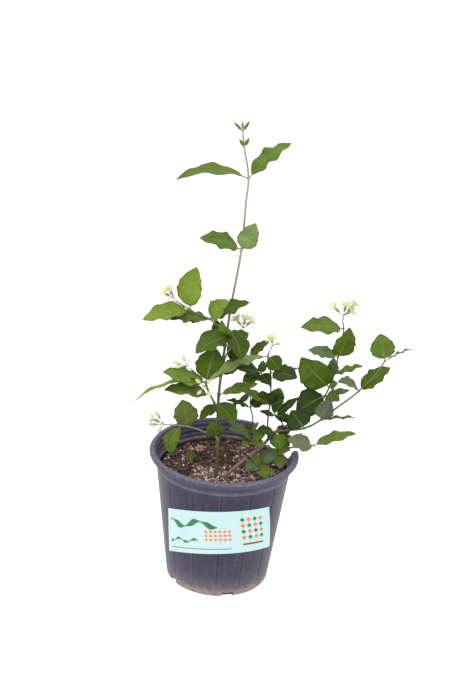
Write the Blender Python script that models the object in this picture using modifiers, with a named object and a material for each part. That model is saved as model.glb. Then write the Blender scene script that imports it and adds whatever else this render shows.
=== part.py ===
"""Arabian jasmine growing in a moulded nursery pot, in metres, +Z up.

The origin is the centre of the pot's flat underside. The label faces -Y. The plant is one pot-grown
shrub: a tall leading stem with side shoots, an old woody stem that forks to the right, and low shoots
at the soil. Leaves stand in groups at the stems' joints, and each group is one solid held by a collar
round its stem, or by a knob at the stem's end.
"""

import math

import bmesh
import bpy
from mathutils import Vector

MM = 0.001
GAP = 0.35 * MM  # clearance between pieces that touch

# Pot: a cone with a rolled lip, shallow flutes and slots in the corner of its base.
POT_HEIGHT = 188.5 * MM
POT_BASE_RADIUS = 68.5 * MM
POT_NECK_RADIUS = 91.2 * MM
POT_NECK_HEIGHT = 178 * MM
RIM_RADIUS = 100 * MM
WALL = 1.8 * MM
LIP_DROP = 8 * MM
COLLAR_RADIUS = 94 * MM
FLUTES = 14
FLUTE_DEPTH = 0.9 * MM
GROOVES_END = 166 * MM  # the collar starts here
POT_SEGMENTS = 4 * FLUTES
SLOT_WIDTH, SLOT_HEIGHT, SLOT_DEPTH = 16 * MM, 8 * MM, 12 * MM
SLOT_ANGLES = [-76, -4, 68, 140, 212]

# The torn edge of the rim: angle round the pot in degrees and height of what is left of the wall.
TEAR = [(5.5, 194), (7, 184), (8.5, 178), (10.5, 173), (14, 170.5), (18.5, 166.5), (24, 164), (29, 163),
        (37, 164.5), (47, 166), (56, 166), (62, 170), (65, 178), (67.5, 194)]

# Label: a sticker round the front. It is one straight sheet on a cone, so both ends drop away from its crown.
LABEL_LEFT_FOOT, LABEL_LEFT_HEAD = -150, -145  # angles round the pot in degrees
LABEL_RIGHT_FOOT, LABEL_RIGHT_HEAD = -27, -43
LABEL_CROWN = -74
LABEL_BOTTOM, LABEL_TOP = 74.5 * MM, 142.8 * MM
LABEL_DROP = 0.0043 * MM  # for each squared degree away from the crown
LABEL_THICKNESS = 0.4 * MM

# Soil: it fills the pot from the floor to a slightly uneven top.
SOIL_TOP = 159 * MM

# Stems. Each run is a list of points in millimetres, with its radius at the first and last point.
STEMS = {
    "main_stem": {
        "leader": (2.4, 1.0, [(-7, -23, 137), (-8, -22, 161), (-10, -18, 217), (-12, -13, 259),
                              (-12, -12, 275), (-11, -9, 301), (-8, -6, 343), (-4, -2, 392), (5, 4, 473),
                              (7, 6, 539), (8, 7, 568), (0, 7, 609), (-3, 6, 629), (-4, 6, 641)]),
        "left_shoot": (1.5, 0.9, [(-11, -9, 290), (-8, -16, 325), (1, -15, 362), (-7, -16, 372),
                                  (-21, -18, 377), (-29, -19, 384), (-43, -21, 390), (-55, -23, 397),
                                  (-69, -25, 406), (-75, -26, 410)]),
        "front_shoot": (1.6, 1.3, [(-12, -14, 252), (-17, -20, 266), (-23, -26, 280), (-30, -30, 299)]),
        "low_left_shoot": (1.2, 0.9, [(-10, -18, 215), (-25, -18, 221), (-49, -16, 227), (-60, -14, 227),
                                      (-77, -12, 226)]),
        "dark_twig": (0.9, 0.8, [(-10, -18, 219), (-1, -22, 218), (22, -29, 212), (46, -33, 206)]),
    },
    "woody_stem": {
        "trunk": (2.6, 1.9, [(-15, -28, 145), (1, -27, 161), (34, -22, 194), (49, -16, 205), (59, -10, 216),
                             (66, -8, 223), (70, -6, 227)]),
        "right_shoot": (1.6, 1.0, [(68, -7, 225), (87, -8, 228), (104, -10, 233), (124, -13, 248),
                                   (139, -15, 264), (170, -20, 297), (192, -22, 328), (199, -23, 343)]),
        "broken_stub": (1.1, 1.0, [(0, -27, 160), (-2, -29, 167), (-2, -30, 173)]),
        "upper_right_shoot": (1.5, 0.9, [(69, -6, 226), (86, 2, 232), (101, 6, 238), (116, 9, 254),
                                         (128, 11, 272), (133, 12, 285), (138, 14, 303), (141, 15, 327),
                                         (145, 16, 368), (143, 16, 378)]),
        "middle_shoot": (1.2, 0.9, [(57, -11, 214), (55, -4, 228), (56, 4, 257), (56, 6, 279), (54, 8, 302),
                                    (49, 9, 325), (51, 9, 333)]),
        "middle_twig": (0.8, 0.8, [(56, 6, 281), (49, 8, 292), (42, 9, 300)]),
        "short_shoot": (1.0, 0.9, [(70, -5, 227), (75, -4, 231), (64, -5, 246), (61, -5, 255)]),
        "inner_shoot": (1.1, 0.8, [(33, -22, 193), (35, -14, 199), (35, -8, 209), (33, -2, 219), (35, 2, 235),
                                   (31, 5, 251), (29, 11, 269), (26, 15, 292), (24, 18, 317)]),
    },
    "low_shoot": {"low_shoot": (1.3, 1.2, [(52, -9, 140), (52, -11, 163), (49, -14, 178)])},
    "outer_shoot": {"outer_shoot": (1.3, 1.0, [(57, -7, 140), (60, -6, 167), (70, 4, 188), (86, 8, 193),
                                               (101, 8, 196), (118, 6, 200)])},
}

# Leaf groups: the run and the point that they stand at, then for each leaf its reach from the stem to
# the tip, its width, the way that its upper side looks, its arch, its fold in degrees and, where it
# curves sideways, its bow. Arch and bow are shares of the leaf's length.
LEAF_GROUPS = {
    "leaves_leader_top": ("leader", 12, [
        ((-12, -4, 12), 4, (0, -1, 1), 0.05, 10),
        ((8, 4, 12), 4, (0, -1, 1), 0.05, 10)]),
    "leaves_leader_bud": ("leader", 11, [
        ((-7, -4, 10), 5, (0, -1, 1), 0.1, 10),
        ((6, 4, 10), 5, (0, -1, 1), 0.1, 10)]),
    "leaves_leader_high": ("leader", 10, [
        ((-90, -21, -2), 33, (0, -0.1, 1), 0.13, 12),
        ((51, 21, 43), 32, (-0.5, -0.4, 1), 0.08, 15)]),
    "leaves_leader_mid": ("leader", 8, [
        ((-54, -8, 15), 36, (0, -0.3, 1), 0.08, 12),
        ((16, -10, 41), 27, (0, -1, 0.3), 0.05, 12)]),
    "leaves_leader_shaded": ("leader", 6, [
        ((25, -6, -12), 26, (0.1, -0.4, 1), 0.06, 10),
        ((-15, -4, 37), 21, (0, -1, 0.2), 0.02, 6),
        ((30, 8, 16), 26, (0, -0.8, 1), 0.06, 12),
        ((22, 6, -24), 22, (0.2, -0.9, 0.8), 0.08, 12)]),
    "leaf_leader_grey": ("leader", 5, [
        ((27, 19, 20), 20, (0, -0.6, 1), 0.03, 10)]),
    "leaf_leader_narrow": ("leader", 4, [
        ((51, 9, 15), 15, (0, -0.6, 1), 0.06, 8)]),
    "leaf_leader_base": ("leader", 2, [
        ((-10, -22, 32), 27, (0, -1, 0.5), 0.06, 8)]),
    "leaves_left_first": ("left_shoot", 2, [
        ((-46, -23, -19), 37, (-0.2, -0.5, 1), 0.1, 20),
        ((-15, -15, 27), 19, (-0.5, -0.9, 0), 0.2, 10),
        ((12, -40, -16), 32, (0.4, -0.8, 0.7), 0.12, 14)]),
    "leaves_left_second": ("left_shoot", 5, [
        ((-53, -11, 1), 28, (0, -0.2, 1), 0.08, 12),
        ((-37, 13, -13), 18, (0, -0.1, 1), 0.05, 10),
        ((22, -11, 33), 26, (-0.7, -0.9, 0.4), 0.16, 10),
        ((49, -3, 28), 30, (0, -0.3, 1), 0.04, 18)]),
    "leaves_left_third": ("left_shoot", 7, [
        ((5, 11, 55), 32, (0, -1, 0.15), 0.03, 8, -0.1),
        ((-60, -11, -14), 30, (0, -0.45, 1), 0.1, 12)]),
    "leaves_front": ("front_shoot", 3, [
        ((9, 12, 46), 38, (0, -1, 0.2), 0.04, 3),
        ((-56, -12, 17), 30, (0, -0.4, 1), 0.02, 12),
        ((-39, 8, 9), 20, (0, 0, 1), 0.05, 10),
        ((-91, -32, -19), 24, (0, 0.35, 1), 0.12, 10)]),
    "leaves_front_first": ("front_shoot", 1, [
        ((27, -37, -13), 34, (0.2, -0.4, 1), 0.14, 14),
        ((-5, -11, -14), 13, (-0.3, -1, 0.4), 0.08, 12),
        ((-18, -8, -22), 13, (-0.3, -0.8, 0.6), 0.06, 10)]),
    "leaf_front_low": ("front_shoot", 2, [
        ((-60, -18, 11), 30, (0, -0.3, 1), 0.1, 12)]),
    "leaf_low_left_up": ("low_left_shoot", 2, [
        ((-10, -6, 42), 33, (0, -1, 0.3), 0.04, 8)]),
    "leaf_low_left_down": ("low_left_shoot", 3, [
        ((-11, -7, -40), 22, (0.2, -1, 0.3), 0.05, 12, 0.15)]),
    "leaves_inner_rosette": ("inner_shoot", 2, [
        ((-13, -16, 17), 16, (0, -0.6, 1), 0.08, 12),
        ((18, -8, 13), 15, (0, -0.6, 1), 0.08, 12),
        ((-12, -26, 3), 15, (0, -0.5, 1), 0.1, 12),
        ((16, -24, 2), 16, (0, -0.5, 1), 0.1, 12)]),
    "leaves_inner_small": ("inner_shoot", 3, [
        ((-29, -16, 8), 20, (0, -0.5, 1), 0.06, 12),
        ((-9, 2, 11), 7, (0, -1, 0.6), 0.05, 10),
        ((10, 8, 11), 6, (0, -1, 0.6), 0.05, 10),
        ((14, 8, -7), 10, (0, -1, 0.8), 0.05, 10)]),
    "leaves_inner_dark": ("inner_shoot", 5, [
        ((-33, -16, 16), 12, (0, -0.4, 1), 0.06, 10),
        ((16, 10, 12), 17, (-0.3, -1, 0.6), 0.05, 12)]),
    "leaf_inner_strip": ("inner_shoot", 6, [
        ((-15, 0, -16), 9, (1, 0.5, 0.6), 0.05, 15)]),
    "leaf_inner_top": ("inner_shoot", 8, [
        ((26, 6, 24), 17, (-0.2, -0.4, 1), 0.05, 12)]),
    "leaves_middle_top": ("middle_shoot", 5, [
        ((-75, -58, -14), 19, (0, -0.2, 1), 0.1, 12),
        ((17, -10, -15), 24, (0.3, -1, 0.5), 0.05, 12)]),
    "leaf_middle_pointed": ("middle_shoot", 4, [
        ((35, -14, 1), 34, (0.1, -0.4, 1), 0.08, 12)]),
    "leaves_middle_twig": ("middle_twig", 2, [
        ((-33, -19, 13), 25, (0, -0.5, 1), 0.06, 12),
        ((-24, -15, -8), 20, (0, -0.7, 1), 0.1, 12),
        ((1, -9, 23), 12, (0, -1, 0.3), 0.05, 10),
        ((12, -22, -6), 18, (0.1, -1, 0.6), 0.06, 12)]),
    "leaves_middle_cluster": ("middle_shoot", 2, [
        ((-12, -12, 26), 26, (-0.3, -1, 0.3), 0.05, 14),
        ((12, -2, 27), 26, (0.3, -1, 0.3), 0.05, 14),
        ((17, -12, 12), 26, (0.2, -1, 0.8), 0.05, 12),
        ((-50, -34, 42), 14, (0, -0.7, 1), 0.04, 10)]),
    "leaves_short_shoot": ("short_shoot", 2, [
        ((20, -9, 3), 12, (0, -0.5, 1), 0.06, 10),
        ((-21, -6, 8), 10, (0, -0.5, 1), 0.06, 10),
        ((29, 10, 24), 12, (0, -0.8, 1), 0.04, 10),
        ((26, -4, -9), 11, (0, -0.5, 1), 0.06, 10)]),
    "leaves_trunk": ("trunk", 5, [
        ((-25, -18, 8), 22, (0, -0.4, 1), 0.06, 10),
        ((20, 10, 1), 20, (0, -0.4, 1), 0.06, 10),
        ((8, -18, -16), 24, (0, -1, 0.7), 0.08, 10)]),
    "leaf_right_first": ("right_shoot", 2, [
        ((-20, -10, 30), 34, (-0.3, -1, 0.5), 0.05, 14)]),
    "leaves_right_second": ("right_shoot", 3, [
        ((47, -6, 9), 14, (0, 0.2, 1), 0.05, 8),
        ((9, -7, 35), 26, (0, -1, 0.4), 0.05, 12)]),
    "leaves_right_third": ("right_shoot", 5, [
        ((-30, -14, 17), 24, (0, -0.3, 1), 0.15, 12),
        ((39, 14, 30), 26, (-0.2, -0.5, 1), 0.06, 12)]),
    "leaves_right_end": ("right_shoot", 7, [
        ((-9, 7, 35), 32, (0, -1, 0.2), 0.05, 8),
        ((36, 3, 19), 16, (0, 0.3, 1), 0.05, 10)]),
    "leaves_upper_right_low": ("upper_right_shoot", 4, [
        ((-37, -19, -17), 40, (-0.2, -1, 0.7), 0.08, 14),
        ((19, -17, 2), 20, (0, -0.6, 1), 0.08, 12),
        ((-31, 3, -6), 14, (0, -0.2, 1), 0.06, 10),
        ((33, 5, 8), 12, (0, -0.5, 1), 0.06, 10)]),
    "leaves_upper_right_big": ("upper_right_shoot", 5, [
        ((-42, -26, 52), 44, (-0.3, -1, 0.4), 0.06, 12),
        ((10, -8, 10), 14, (0, -0.8, 1), 0.06, 10)]),
    "leaves_upper_right_mid": ("upper_right_shoot", 6, [
        ((-3, -12, 30), 16, (-0.3, -1, 0.2), 0.04, 14),
        ((37, -6, 17), 14, (0, -0.3, 1), 0.06, 10),
        ((-68, 20, -8), 14, (0, 0.2, 1), 0.06, 10)]),
    "leaves_upper_right_high": ("upper_right_shoot", 7, [
        ((-40, 9, 4), 24, (0, -0.3, 1), 0.06, 12),
        ((10, -21, 53), 30, (0.2, -1, 0.3), 0.06, 14)]),
    "leaf_upper_right_top": ("upper_right_shoot", 8, [
        ((-57, -22, 7), 30, (0, -0.5, 1), 0.08, 12)]),
    "leaves_outer_first": ("outer_shoot", 2, [
        ((8, -20, -14), 18, (0, -1, 1), 0.08, 10),
        ((17, 6, 24), 18, (0, -1, 0.5), 0.05, 10),
        ((18, -14, 11), 18, (0, -0.5, 1), 0.06, 10)]),
    "leaves_outer_end": ("outer_shoot", 5, [
        ((-37, -43, 28), 24, (0, -1, 0.8), 0.01, 12),
        ((-29, -22, 9), 18, (0, -0.8, 1), 0.08, 10),
        ((57, 8, 18), 22, (0, -0.2, 1), 0.06, 12)]),
    "leaves_low_shoot": ("low_shoot", 2, [
        ((-20, -20, -2), 20, (0, -0.5, 1), 0.1, 12),
        ((21, 4, 22), 20, (-0.3, -0.8, 0.8), 0.06, 12),
        ((-13, -2, 15), 12, (0, -0.8, 0.6), 0.06, 12),
        ((8, -26, -9), 22, (0, -0.5, 1), 0.1, 12)]),
}
LEAF_THICKNESS = 0.6 * MM
COLLAR_HEIGHT = 1.7 * MM
COLLAR_SIDES = 6
HUB_RADIUS = 1.8 * MM
PETIOLE_SHARE = 0.12  # of a leaf's length
PETIOLE_WIDTH = 1.4 * MM
OVAL_START, OVAL_END = 0.62, 0.85  # how fast a blade widens from its foot and narrows to its tip
OVAL_PEAK = OVAL_START / (OVAL_START + OVAL_END)  # where it is widest
SHORT_STATIONS = [0, PETIOLE_SHARE, 0.42, 0.75, 1]
LONG_STATIONS = [0, PETIOLE_SHARE, 0.28, 0.52, 0.78, 1]
LONG_LEAF = 45 * MM  # leaves longer than this get one more station

# Bud and flower clusters: where the stalk starts, where it ends, and the tip of each bud from there.
CLUSTERS = {
    "flowers_left": ((-76, -26, 411), (-77, -26, 413), [
        (-13, -4, 8), (-6, -3, 13), (-2, -2, 9)]),
    "flowers_centre": ((4.7, -15, 362.9), (14, -14, 372), [
        (-10, -2, 14), (2, -2, 15), (11, -2, 13), (-2, -6, 8)]),
    "buds_left": ((-32, -28, 302.2), (-54, -31, 321), [
        (-22, -3, 7), (-16, -5, 1), (-8, -4, 17), (1, 0, 13)]),
    "buds_front": ((-30, -31.9, 297.6), (-30, -40, 298), [
        (-12, -6, 12), (5, -5, 12), (-3, -7, 2), (-9, -6, -8), (7, -6, -9)]),
    "flowers_low_left": ((-77.6, -12, 226), (-82, -13, 227), [
        (-12, -4, 20), (-17, -5, 10), (-19, -5, 0), (-7, -6, -9)]),
    "flower_middle": ((51.2, 9, 333.6), (54, 9, 341), [
        (-10, -2, 5), (-2, -3, 9), (9, -2, 5), (6, -4, -1)]),
    "flowers_top_right": ((143, 16, 378.6), (143, 16, 386), [
        (-16, -4, 16), (2, -2, 18), (16, 2, 20), (10, -4, 10)]),
    "bud_right_end": ((204, -23, 350), (212, -24, 360), [
        (4, -1, 8)]),
}
STALK_RADIUS = 0.7  # in millimetres, as the clusters' points are
BUD_RADIUS = 1.9

# What lies and sprouts on the soil, in millimetres.
FALLEN_FLOWER = (-34, 46, 162.1)
PETALS, PETAL_LENGTH, PETAL_WIDTH = 5, 9 * MM, 6 * MM
SOIL_LEAF = ((-45, 14, 159.7), (-2, 9, 12), 13)
SPROUT = ((14, 44, 159.4), (14, 44, 163), [((-6, -2, 3), 4), ((6, -3, 4), 4)])

COLOURS = {
    "pot": ((0.045, 0.047, 0.058), 0.5),
    "label": ((0.72, 0.86, 0.82), 0.45),
    "soil": ((0.09, 0.055, 0.035), 0.95),
    "leaf": ((0.09, 0.2, 0.03), 0.4),
    "young_stem": ((0.16, 0.24, 0.06), 0.5),
    "woody_stem": ((0.3, 0.2, 0.11), 0.8),
    "flower": ((0.85, 0.82, 0.55), 0.6),
}


# Scene, collections and materials

def clear_scene():
    for obj in list(bpy.data.objects):
        bpy.data.objects.remove(obj)


def new_collection(name):
    collection = bpy.data.collections.new(name)
    bpy.context.scene.collection.children.link(collection)
    return collection


def new_material(name):
    colour, roughness = COLOURS[name]
    material = bpy.data.materials.new(name)
    material.use_nodes = True
    shader = material.node_tree.nodes["Principled BSDF"]
    shader.inputs["Base Color"].default_value = (*colour, 1)
    shader.inputs["Roughness"].default_value = roughness
    shader.inputs["Metallic"].default_value = 0
    return material


clear_scene()
PARTS = new_collection("potted_arabian_jasmine")
GUIDES = new_collection("guides")
MATERIALS = {name: new_material(name) for name in COLOURS}


def add_piece(name, mesh, material):
    piece = bpy.data.objects.new(name, mesh)
    piece.data.materials.append(MATERIALS[material])
    PARTS.objects.link(piece)
    return piece


def add_guide(name, mesh):
    guide = bpy.data.objects.new(name, mesh)
    guide.hide_render = True
    guide.display_type = "WIRE"
    GUIDES.objects.link(guide)
    return guide


def mesh_from(bm, name):
    mesh = bpy.data.meshes.new(name)
    bmesh.ops.recalc_face_normals(bm, faces=bm.faces)
    bm.to_mesh(mesh)
    bm.free()
    return mesh


def boolean(piece, other, operation):
    modifier = piece.modifiers.new(operation.lower(), "BOOLEAN")
    modifier.operation = operation
    modifier.object = other


def on_ring(radius, angle, height):
    return Vector((radius * math.cos(angle), radius * math.sin(angle), height))


def spin_profile(points, steps, closed):
    """A bmesh of the profile, given as radius and height, turned once round Z."""
    bm = bmesh.new()
    line = [bm.verts.new((radius, 0, height)) for radius, height in points]
    edges = [bm.edges.new(pair) for pair in zip(line, line[1:] + line[:1] if closed else line[1:])]
    bmesh.ops.spin(bm, geom=line + edges, cent=(0, 0, 0), axis=(0, 0, 1), angle=2 * math.pi,
                   steps=steps, use_merge=True)
    bmesh.ops.remove_doubles(bm, verts=bm.verts, dist=0.01 * MM)
    return bm


# Pot

def wall_radius(height):
    """Outer radius of the plain wall at a height above the base."""
    return POT_BASE_RADIUS + (POT_NECK_RADIUS - POT_BASE_RADIUS) * height / POT_NECK_HEIGHT


def flute(angle, height):
    """How far the wall sinks in at a flute, fading out near the base and the neck."""
    across = max(0.0, math.cos(FLUTES * (angle + math.pi / 2))) ** 4
    along = min(1.0, max(0.0, height - 12 * MM) / (10 * MM), max(0.0, GROOVES_END - height) / (8 * MM))
    return FLUTE_DEPTH * across * along


def pot_profile():
    """Radius and height down the outside of the lip and wall, across the floor and up the inside."""
    corner = 5 * MM
    outside = [
        (RIM_RADIUS - 4 * MM, POT_HEIGHT),
        (RIM_RADIUS - 1.2 * MM, POT_HEIGHT - 1.2 * MM),
        (RIM_RADIUS, POT_HEIGHT - 3.6 * MM),
        (RIM_RADIUS - 1 * MM, POT_HEIGHT - LIP_DROP),
        (COLLAR_RADIUS, POT_HEIGHT - LIP_DROP - 1 * MM),
        (wall_radius(GROOVES_END) + 0.4 * MM, GROOVES_END),
        (wall_radius(140 * MM), 140 * MM),
        (wall_radius(80 * MM), 80 * MM),
        (wall_radius(22 * MM), 22 * MM),
        (wall_radius(corner), corner),
        (POT_BASE_RADIUS - 1.5 * MM, 1.2 * MM),
        (POT_BASE_RADIUS - corner, 0),
    ]
    inside = [
        (POT_BASE_RADIUS - corner, WALL),
        (wall_radius(corner) - WALL, corner + 0.5 * MM),
        (wall_radius(80 * MM) - WALL, 80 * MM),
        (wall_radius(140 * MM) - WALL, 140 * MM),
        (wall_radius(170 * MM) - WALL, 170 * MM),
        (wall_radius(178 * MM) - WALL + 1 * MM, 179 * MM),
        (RIM_RADIUS - 7.5 * MM, POT_HEIGHT - 1 * MM),
    ]
    return outside, inside


def make_pot():
    outside, inside = pot_profile()
    bm = spin_profile([(0, WALL)] + inside + outside + [(0, 0)], POT_SEGMENTS, closed=False)
    for vert in bm.verts:
        radius = math.hypot(vert.co.x, vert.co.y)
        if radius > wall_radius(vert.co.z) - 3 * MM and vert.co.z < GROOVES_END:
            angle = math.atan2(vert.co.y, vert.co.x)
            sunk = radius - flute(angle, vert.co.z)
            vert.co = on_ring(sunk, angle, vert.co.z)
    pot = add_piece("pot", mesh_from(bm, "pot"), "pot")
    for index, degrees in enumerate(SLOT_ANGLES):
        boolean(pot, slot_cutter(index, math.radians(degrees)), "DIFFERENCE")
    boolean(pot, tear_cutter(), "DIFFERENCE")
    return pot


def slot_cutter(index, angle):
    """A block across the corner of the base, for one drainage slot."""
    bm = bmesh.new()
    bmesh.ops.create_cube(bm, size=1)
    bmesh.ops.scale(bm, vec=(SLOT_DEPTH, SLOT_WIDTH, 2 * SLOT_HEIGHT), verts=bm.verts)
    mesh = mesh_from(bm, f"slot_{index}")
    cutter = add_guide(f"slot_{index}", mesh)
    cutter.location = on_ring(POT_BASE_RADIUS - 1 * MM, angle, 0)
    cutter.rotation_euler.z = angle
    return cutter


def tear_cutter():
    """The block of air where a piece of the rim and wall has broken out."""
    inner, outer, top = 78 * MM, 106 * MM, 200 * MM
    bm = bmesh.new()
    last = None
    for degrees, height in TEAR:
        angle = math.radians(degrees)
        ring = [bm.verts.new(on_ring(r, angle, z)) for r, z in
                ((inner, height * MM), (outer, height * MM), (outer, top), (inner, top))]
        if last is None:
            bm.faces.new(ring)
        else:
            for i in range(4):
                bm.faces.new((last[i], last[(i + 1) % 4], ring[(i + 1) % 4], ring[i]))
        last = ring
    bm.faces.new(last)
    return add_guide("tear", mesh_from(bm, "tear"))


# Label

def make_label():
    """A curved sheet with Solidify, a gap's width off the wall."""
    across, up = 20, 4
    bm = bmesh.new()
    bmesh.ops.create_grid(bm, x_segments=across, y_segments=up, size=0.5)
    for vert in bm.verts:
        across, up = vert.co.x + 0.5, vert.co.y + 0.5
        left = LABEL_LEFT_FOOT + (LABEL_LEFT_HEAD - LABEL_LEFT_FOOT) * up
        right = LABEL_RIGHT_FOOT + (LABEL_RIGHT_HEAD - LABEL_RIGHT_FOOT) * up
        degrees = left + (right - left) * across
        height = LABEL_BOTTOM + (LABEL_TOP - LABEL_BOTTOM) * up - LABEL_DROP * (degrees - LABEL_CROWN) ** 2
        radius = wall_radius(height) + GAP + LABEL_THICKNESS / 2
        vert.co = on_ring(radius, math.radians(degrees), height)
    label = add_piece("label", mesh_from(bm, "label"), "label")
    solidify = label.modifiers.new("thickness", "SOLIDIFY")
    solidify.thickness = LABEL_THICKNESS
    solidify.offset = 0
    return label


# Soil

def make_soil():
    rings = [(12, 0.4), (30, -1.2), (50, 0.6), (70, 0.9)]
    bottom, shoulder = WALL + GAP, SOIL_TOP - 2.5 * MM
    clear = WALL + GAP + FLUTE_DEPTH
    profile = [(wall_radius(6 * MM) - clear - 3 * MM, bottom), (wall_radius(10 * MM) - clear, 10 * MM),
               (wall_radius(shoulder) - clear, shoulder)]
    profile += [(radius * MM, SOIL_TOP + rise * MM) for radius, rise in reversed(rings)]
    bm = spin_profile([(0, bottom)] + profile + [(0, SOIL_TOP)], 28, closed=False)
    for vert in bm.verts:
        if vert.co.z > SOIL_TOP - 2 * MM:
            vert.co.z += 0.8 * MM * math.sin(90 * vert.co.x) * math.cos(70 * vert.co.y + 1)
    soil = add_piece("soil", mesh_from(bm, "soil"), "soil")
    for stem, runs in STEMS.items():
        first = next(iter(runs.values()))
        wide = first[0] + GAP / MM
        socket = tube(f"socket_{stem}", first[2][:3], [wide] * 3)
        boolean(soil, socket, "DIFFERENCE")
    return soil


# Stems

def tube(name, points, radii, smooth=2):
    """A round tube through the points, as a mesh with welded caps. It has a radius at each point."""
    curve = bpy.data.curves.new(name, "CURVE")
    curve.dimensions = "3D"
    curve.bevel_depth = 1
    curve.bevel_resolution = smooth
    curve.resolution_u = smooth
    curve.use_fill_caps = True
    spline = curve.splines.new("BEZIER")
    spline.bezier_points.add(len(points) - 1)
    for knot, point, radius in zip(spline.bezier_points, points, radii):
        knot.co = Vector(point) * MM
        knot.handle_left_type = knot.handle_right_type = "AUTO"
        knot.radius = radius * MM
    guide = bpy.data.objects.new(name, curve)
    GUIDES.objects.link(guide)
    evaluated = guide.evaluated_get(bpy.context.evaluated_depsgraph_get())
    bm = bmesh.new()
    bm.from_mesh(evaluated.to_mesh())
    bpy.data.objects.remove(guide)
    bmesh.ops.remove_doubles(bm, verts=bm.verts, dist=0.01 * MM)
    return add_guide(name, mesh_from(bm, name))


def make_stem(name, runs):
    """One stem with the shoots that fork from it, joined into one solid."""
    shoots = []
    for run, (_, _, points) in runs.items():
        radii = [radius_at(run, index) for index in range(len(points))]
        shoots.append(tube(f"run_{run}", points, radii))
    material = "young_stem" if name == "main_stem" else "woody_stem"
    stem = add_piece(name, shoots[0].data.copy(), material)
    for shoot in shoots[1:]:
        boolean(stem, shoot, "UNION")
    return stem


def run_of(name):
    for runs in STEMS.values():
        if name in runs:
            return runs[name]
    raise KeyError(name)


def radius_at(run, index):
    """A stem's radius at one of its points, in millimetres: it narrows evenly."""
    start_radius, end_radius, points = run_of(run)
    return start_radius + (end_radius - start_radius) * index / (len(points) - 1)


def station(run, index):
    """Place, direction and radius of a stem at one of its points."""
    points = run_of(run)[2]
    here = Vector(points[index])
    before = Vector(points[max(index - 1, 0)])
    after = Vector(points[min(index + 1, len(points) - 1)])
    return here * MM, (after - before).normalized(), radius_at(run, index) * MM


# Leaves

def blade_half_width(share, width):
    """Half width at a share of the leaf's length: a thin stalk, then an oval that narrows to a tip."""
    if share <= PETIOLE_SHARE:
        return PETIOLE_WIDTH / 2
    along = (share - PETIOLE_SHARE) / (1 - PETIOLE_SHARE)
    widest = OVAL_PEAK ** OVAL_START * (1 - OVAL_PEAK) ** OVAL_END
    oval = along ** OVAL_START * (1 - along) ** OVAL_END / widest
    return max(0.5 * MM, width / 2 * oval)


def leaf_mesh(name, base, reach, width, faces, arch, fold, bow=0):
    """A grid bent into a leaf: it runs from base along reach, arched upwards and folded at its midrib."""
    along = reach.normalized()
    above = (faces - along * faces.dot(along)).normalized()
    side = along.cross(above)
    stations = LONG_STATIONS if reach.length > LONG_LEAF else SHORT_STATIONS
    bm = bmesh.new()
    bmesh.ops.create_grid(bm, x_segments=2, y_segments=len(stations) - 1, size=0.5)
    for vert in bm.verts:
        share = stations[round((vert.co.y + 0.5) * (len(stations) - 1))]
        across = 2 * vert.co.x
        half = blade_half_width(share, width)
        angle = math.radians(fold) if share > PETIOLE_SHARE else 0
        curve = reach.length * 4 * share * (1 - share)
        lift = arch * curve + abs(across) * half * math.sin(angle)
        shift = bow * curve + across * half * math.cos(angle)
        vert.co = base + reach * share + above * lift + side * shift
    return mesh_from(bm, name)


def make_leaf_group(name, run, index, leaves):
    """The leaves at one joint of a stem, as one solid that clears the stem."""
    place, direction, radius = station(run, index)
    at_end = index == len(run_of(run)[2]) - 1
    if at_end:
        centre = place + direction * (GAP + HUB_RADIUS)
        bm = bmesh.new()
        bmesh.ops.create_icosphere(bm, subdivisions=1, radius=HUB_RADIUS)
        bmesh.ops.translate(bm, vec=centre, verts=bm.verts)
        offset = 0.6 * MM
    else:
        inner, outer = radius + GAP + 0.3 * MM, radius + GAP + 1.25 * MM
        centre = place
        half = COLLAR_HEIGHT / 2
        corners = [(inner, -half), (outer, -half), (outer, half), (inner, half)]
        bm = spin_profile(corners, COLLAR_SIDES, closed=True)
        bm.transform(direction.to_track_quat("Z", "Y").to_matrix().to_4x4())
        bmesh.ops.translate(bm, vec=centre, verts=bm.verts)
        offset = (inner + outer) / 2
    single = len(leaves) == 1 and not at_end
    sheets = []
    for number, (reach, width, faces, *bends) in enumerate(leaves):
        reach = Vector(reach) * MM
        outwards = reach - direction * reach.dot(direction)
        outwards = reach.normalized() if at_end else outwards.normalized()
        start = outwards * (radius + GAP + 0.3 * MM if single else offset)
        mesh = leaf_mesh(f"{name}_{number}", centre + start, reach - start, width * MM, Vector(faces), *bends)
        sheets.append(mesh)
    if single:
        bm.free()
        group = add_piece(name, sheets[0], "leaf")
        thicken(group)
        return group
    group = add_piece(name, mesh_from(bm, name), "leaf")
    join_sheets(group, sheets)
    return group


def thicken(sheet):
    solidify = sheet.modifiers.new("thickness", "SOLIDIFY")
    solidify.thickness = LEAF_THICKNESS
    solidify.offset = 0


def join_sheets(piece, sheets):
    """Unites a piece with thin leaves or petals."""
    for number, mesh in enumerate(sheets):
        sheet = add_guide(f"{piece.name}_{number}", mesh)
        thicken(sheet)
        boolean(piece, sheet, "UNION")


# Flowers

def bud(name, start, tip):
    """A long bud on a thin stalk: a tube that swells towards its tip."""
    points = [start, start.lerp(tip, 0.45), start.lerp(tip, 0.75), tip]
    return tube(name, points, [STALK_RADIUS, STALK_RADIUS, BUD_RADIUS, STALK_RADIUS], smooth=1)


def make_cluster(name, foot, crown, tips):
    """A stalk that starts clear of its stem, with its buds joined to it."""
    foot, crown = Vector(foot), Vector(crown)
    points = [foot, foot.lerp(crown, 0.5), crown]
    stalk = tube(f"{name}_stalk", points, [STALK_RADIUS * 1.3] * 3, smooth=1)
    cluster = add_piece(name, stalk.data.copy(), "flower")
    for number, tip in enumerate(tips):
        boolean(cluster, bud(f"{name}_{number}", foot.lerp(crown, 0.85), crown + Vector(tip)), "UNION")
    return cluster


# What lies and sprouts on the soil

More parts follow.
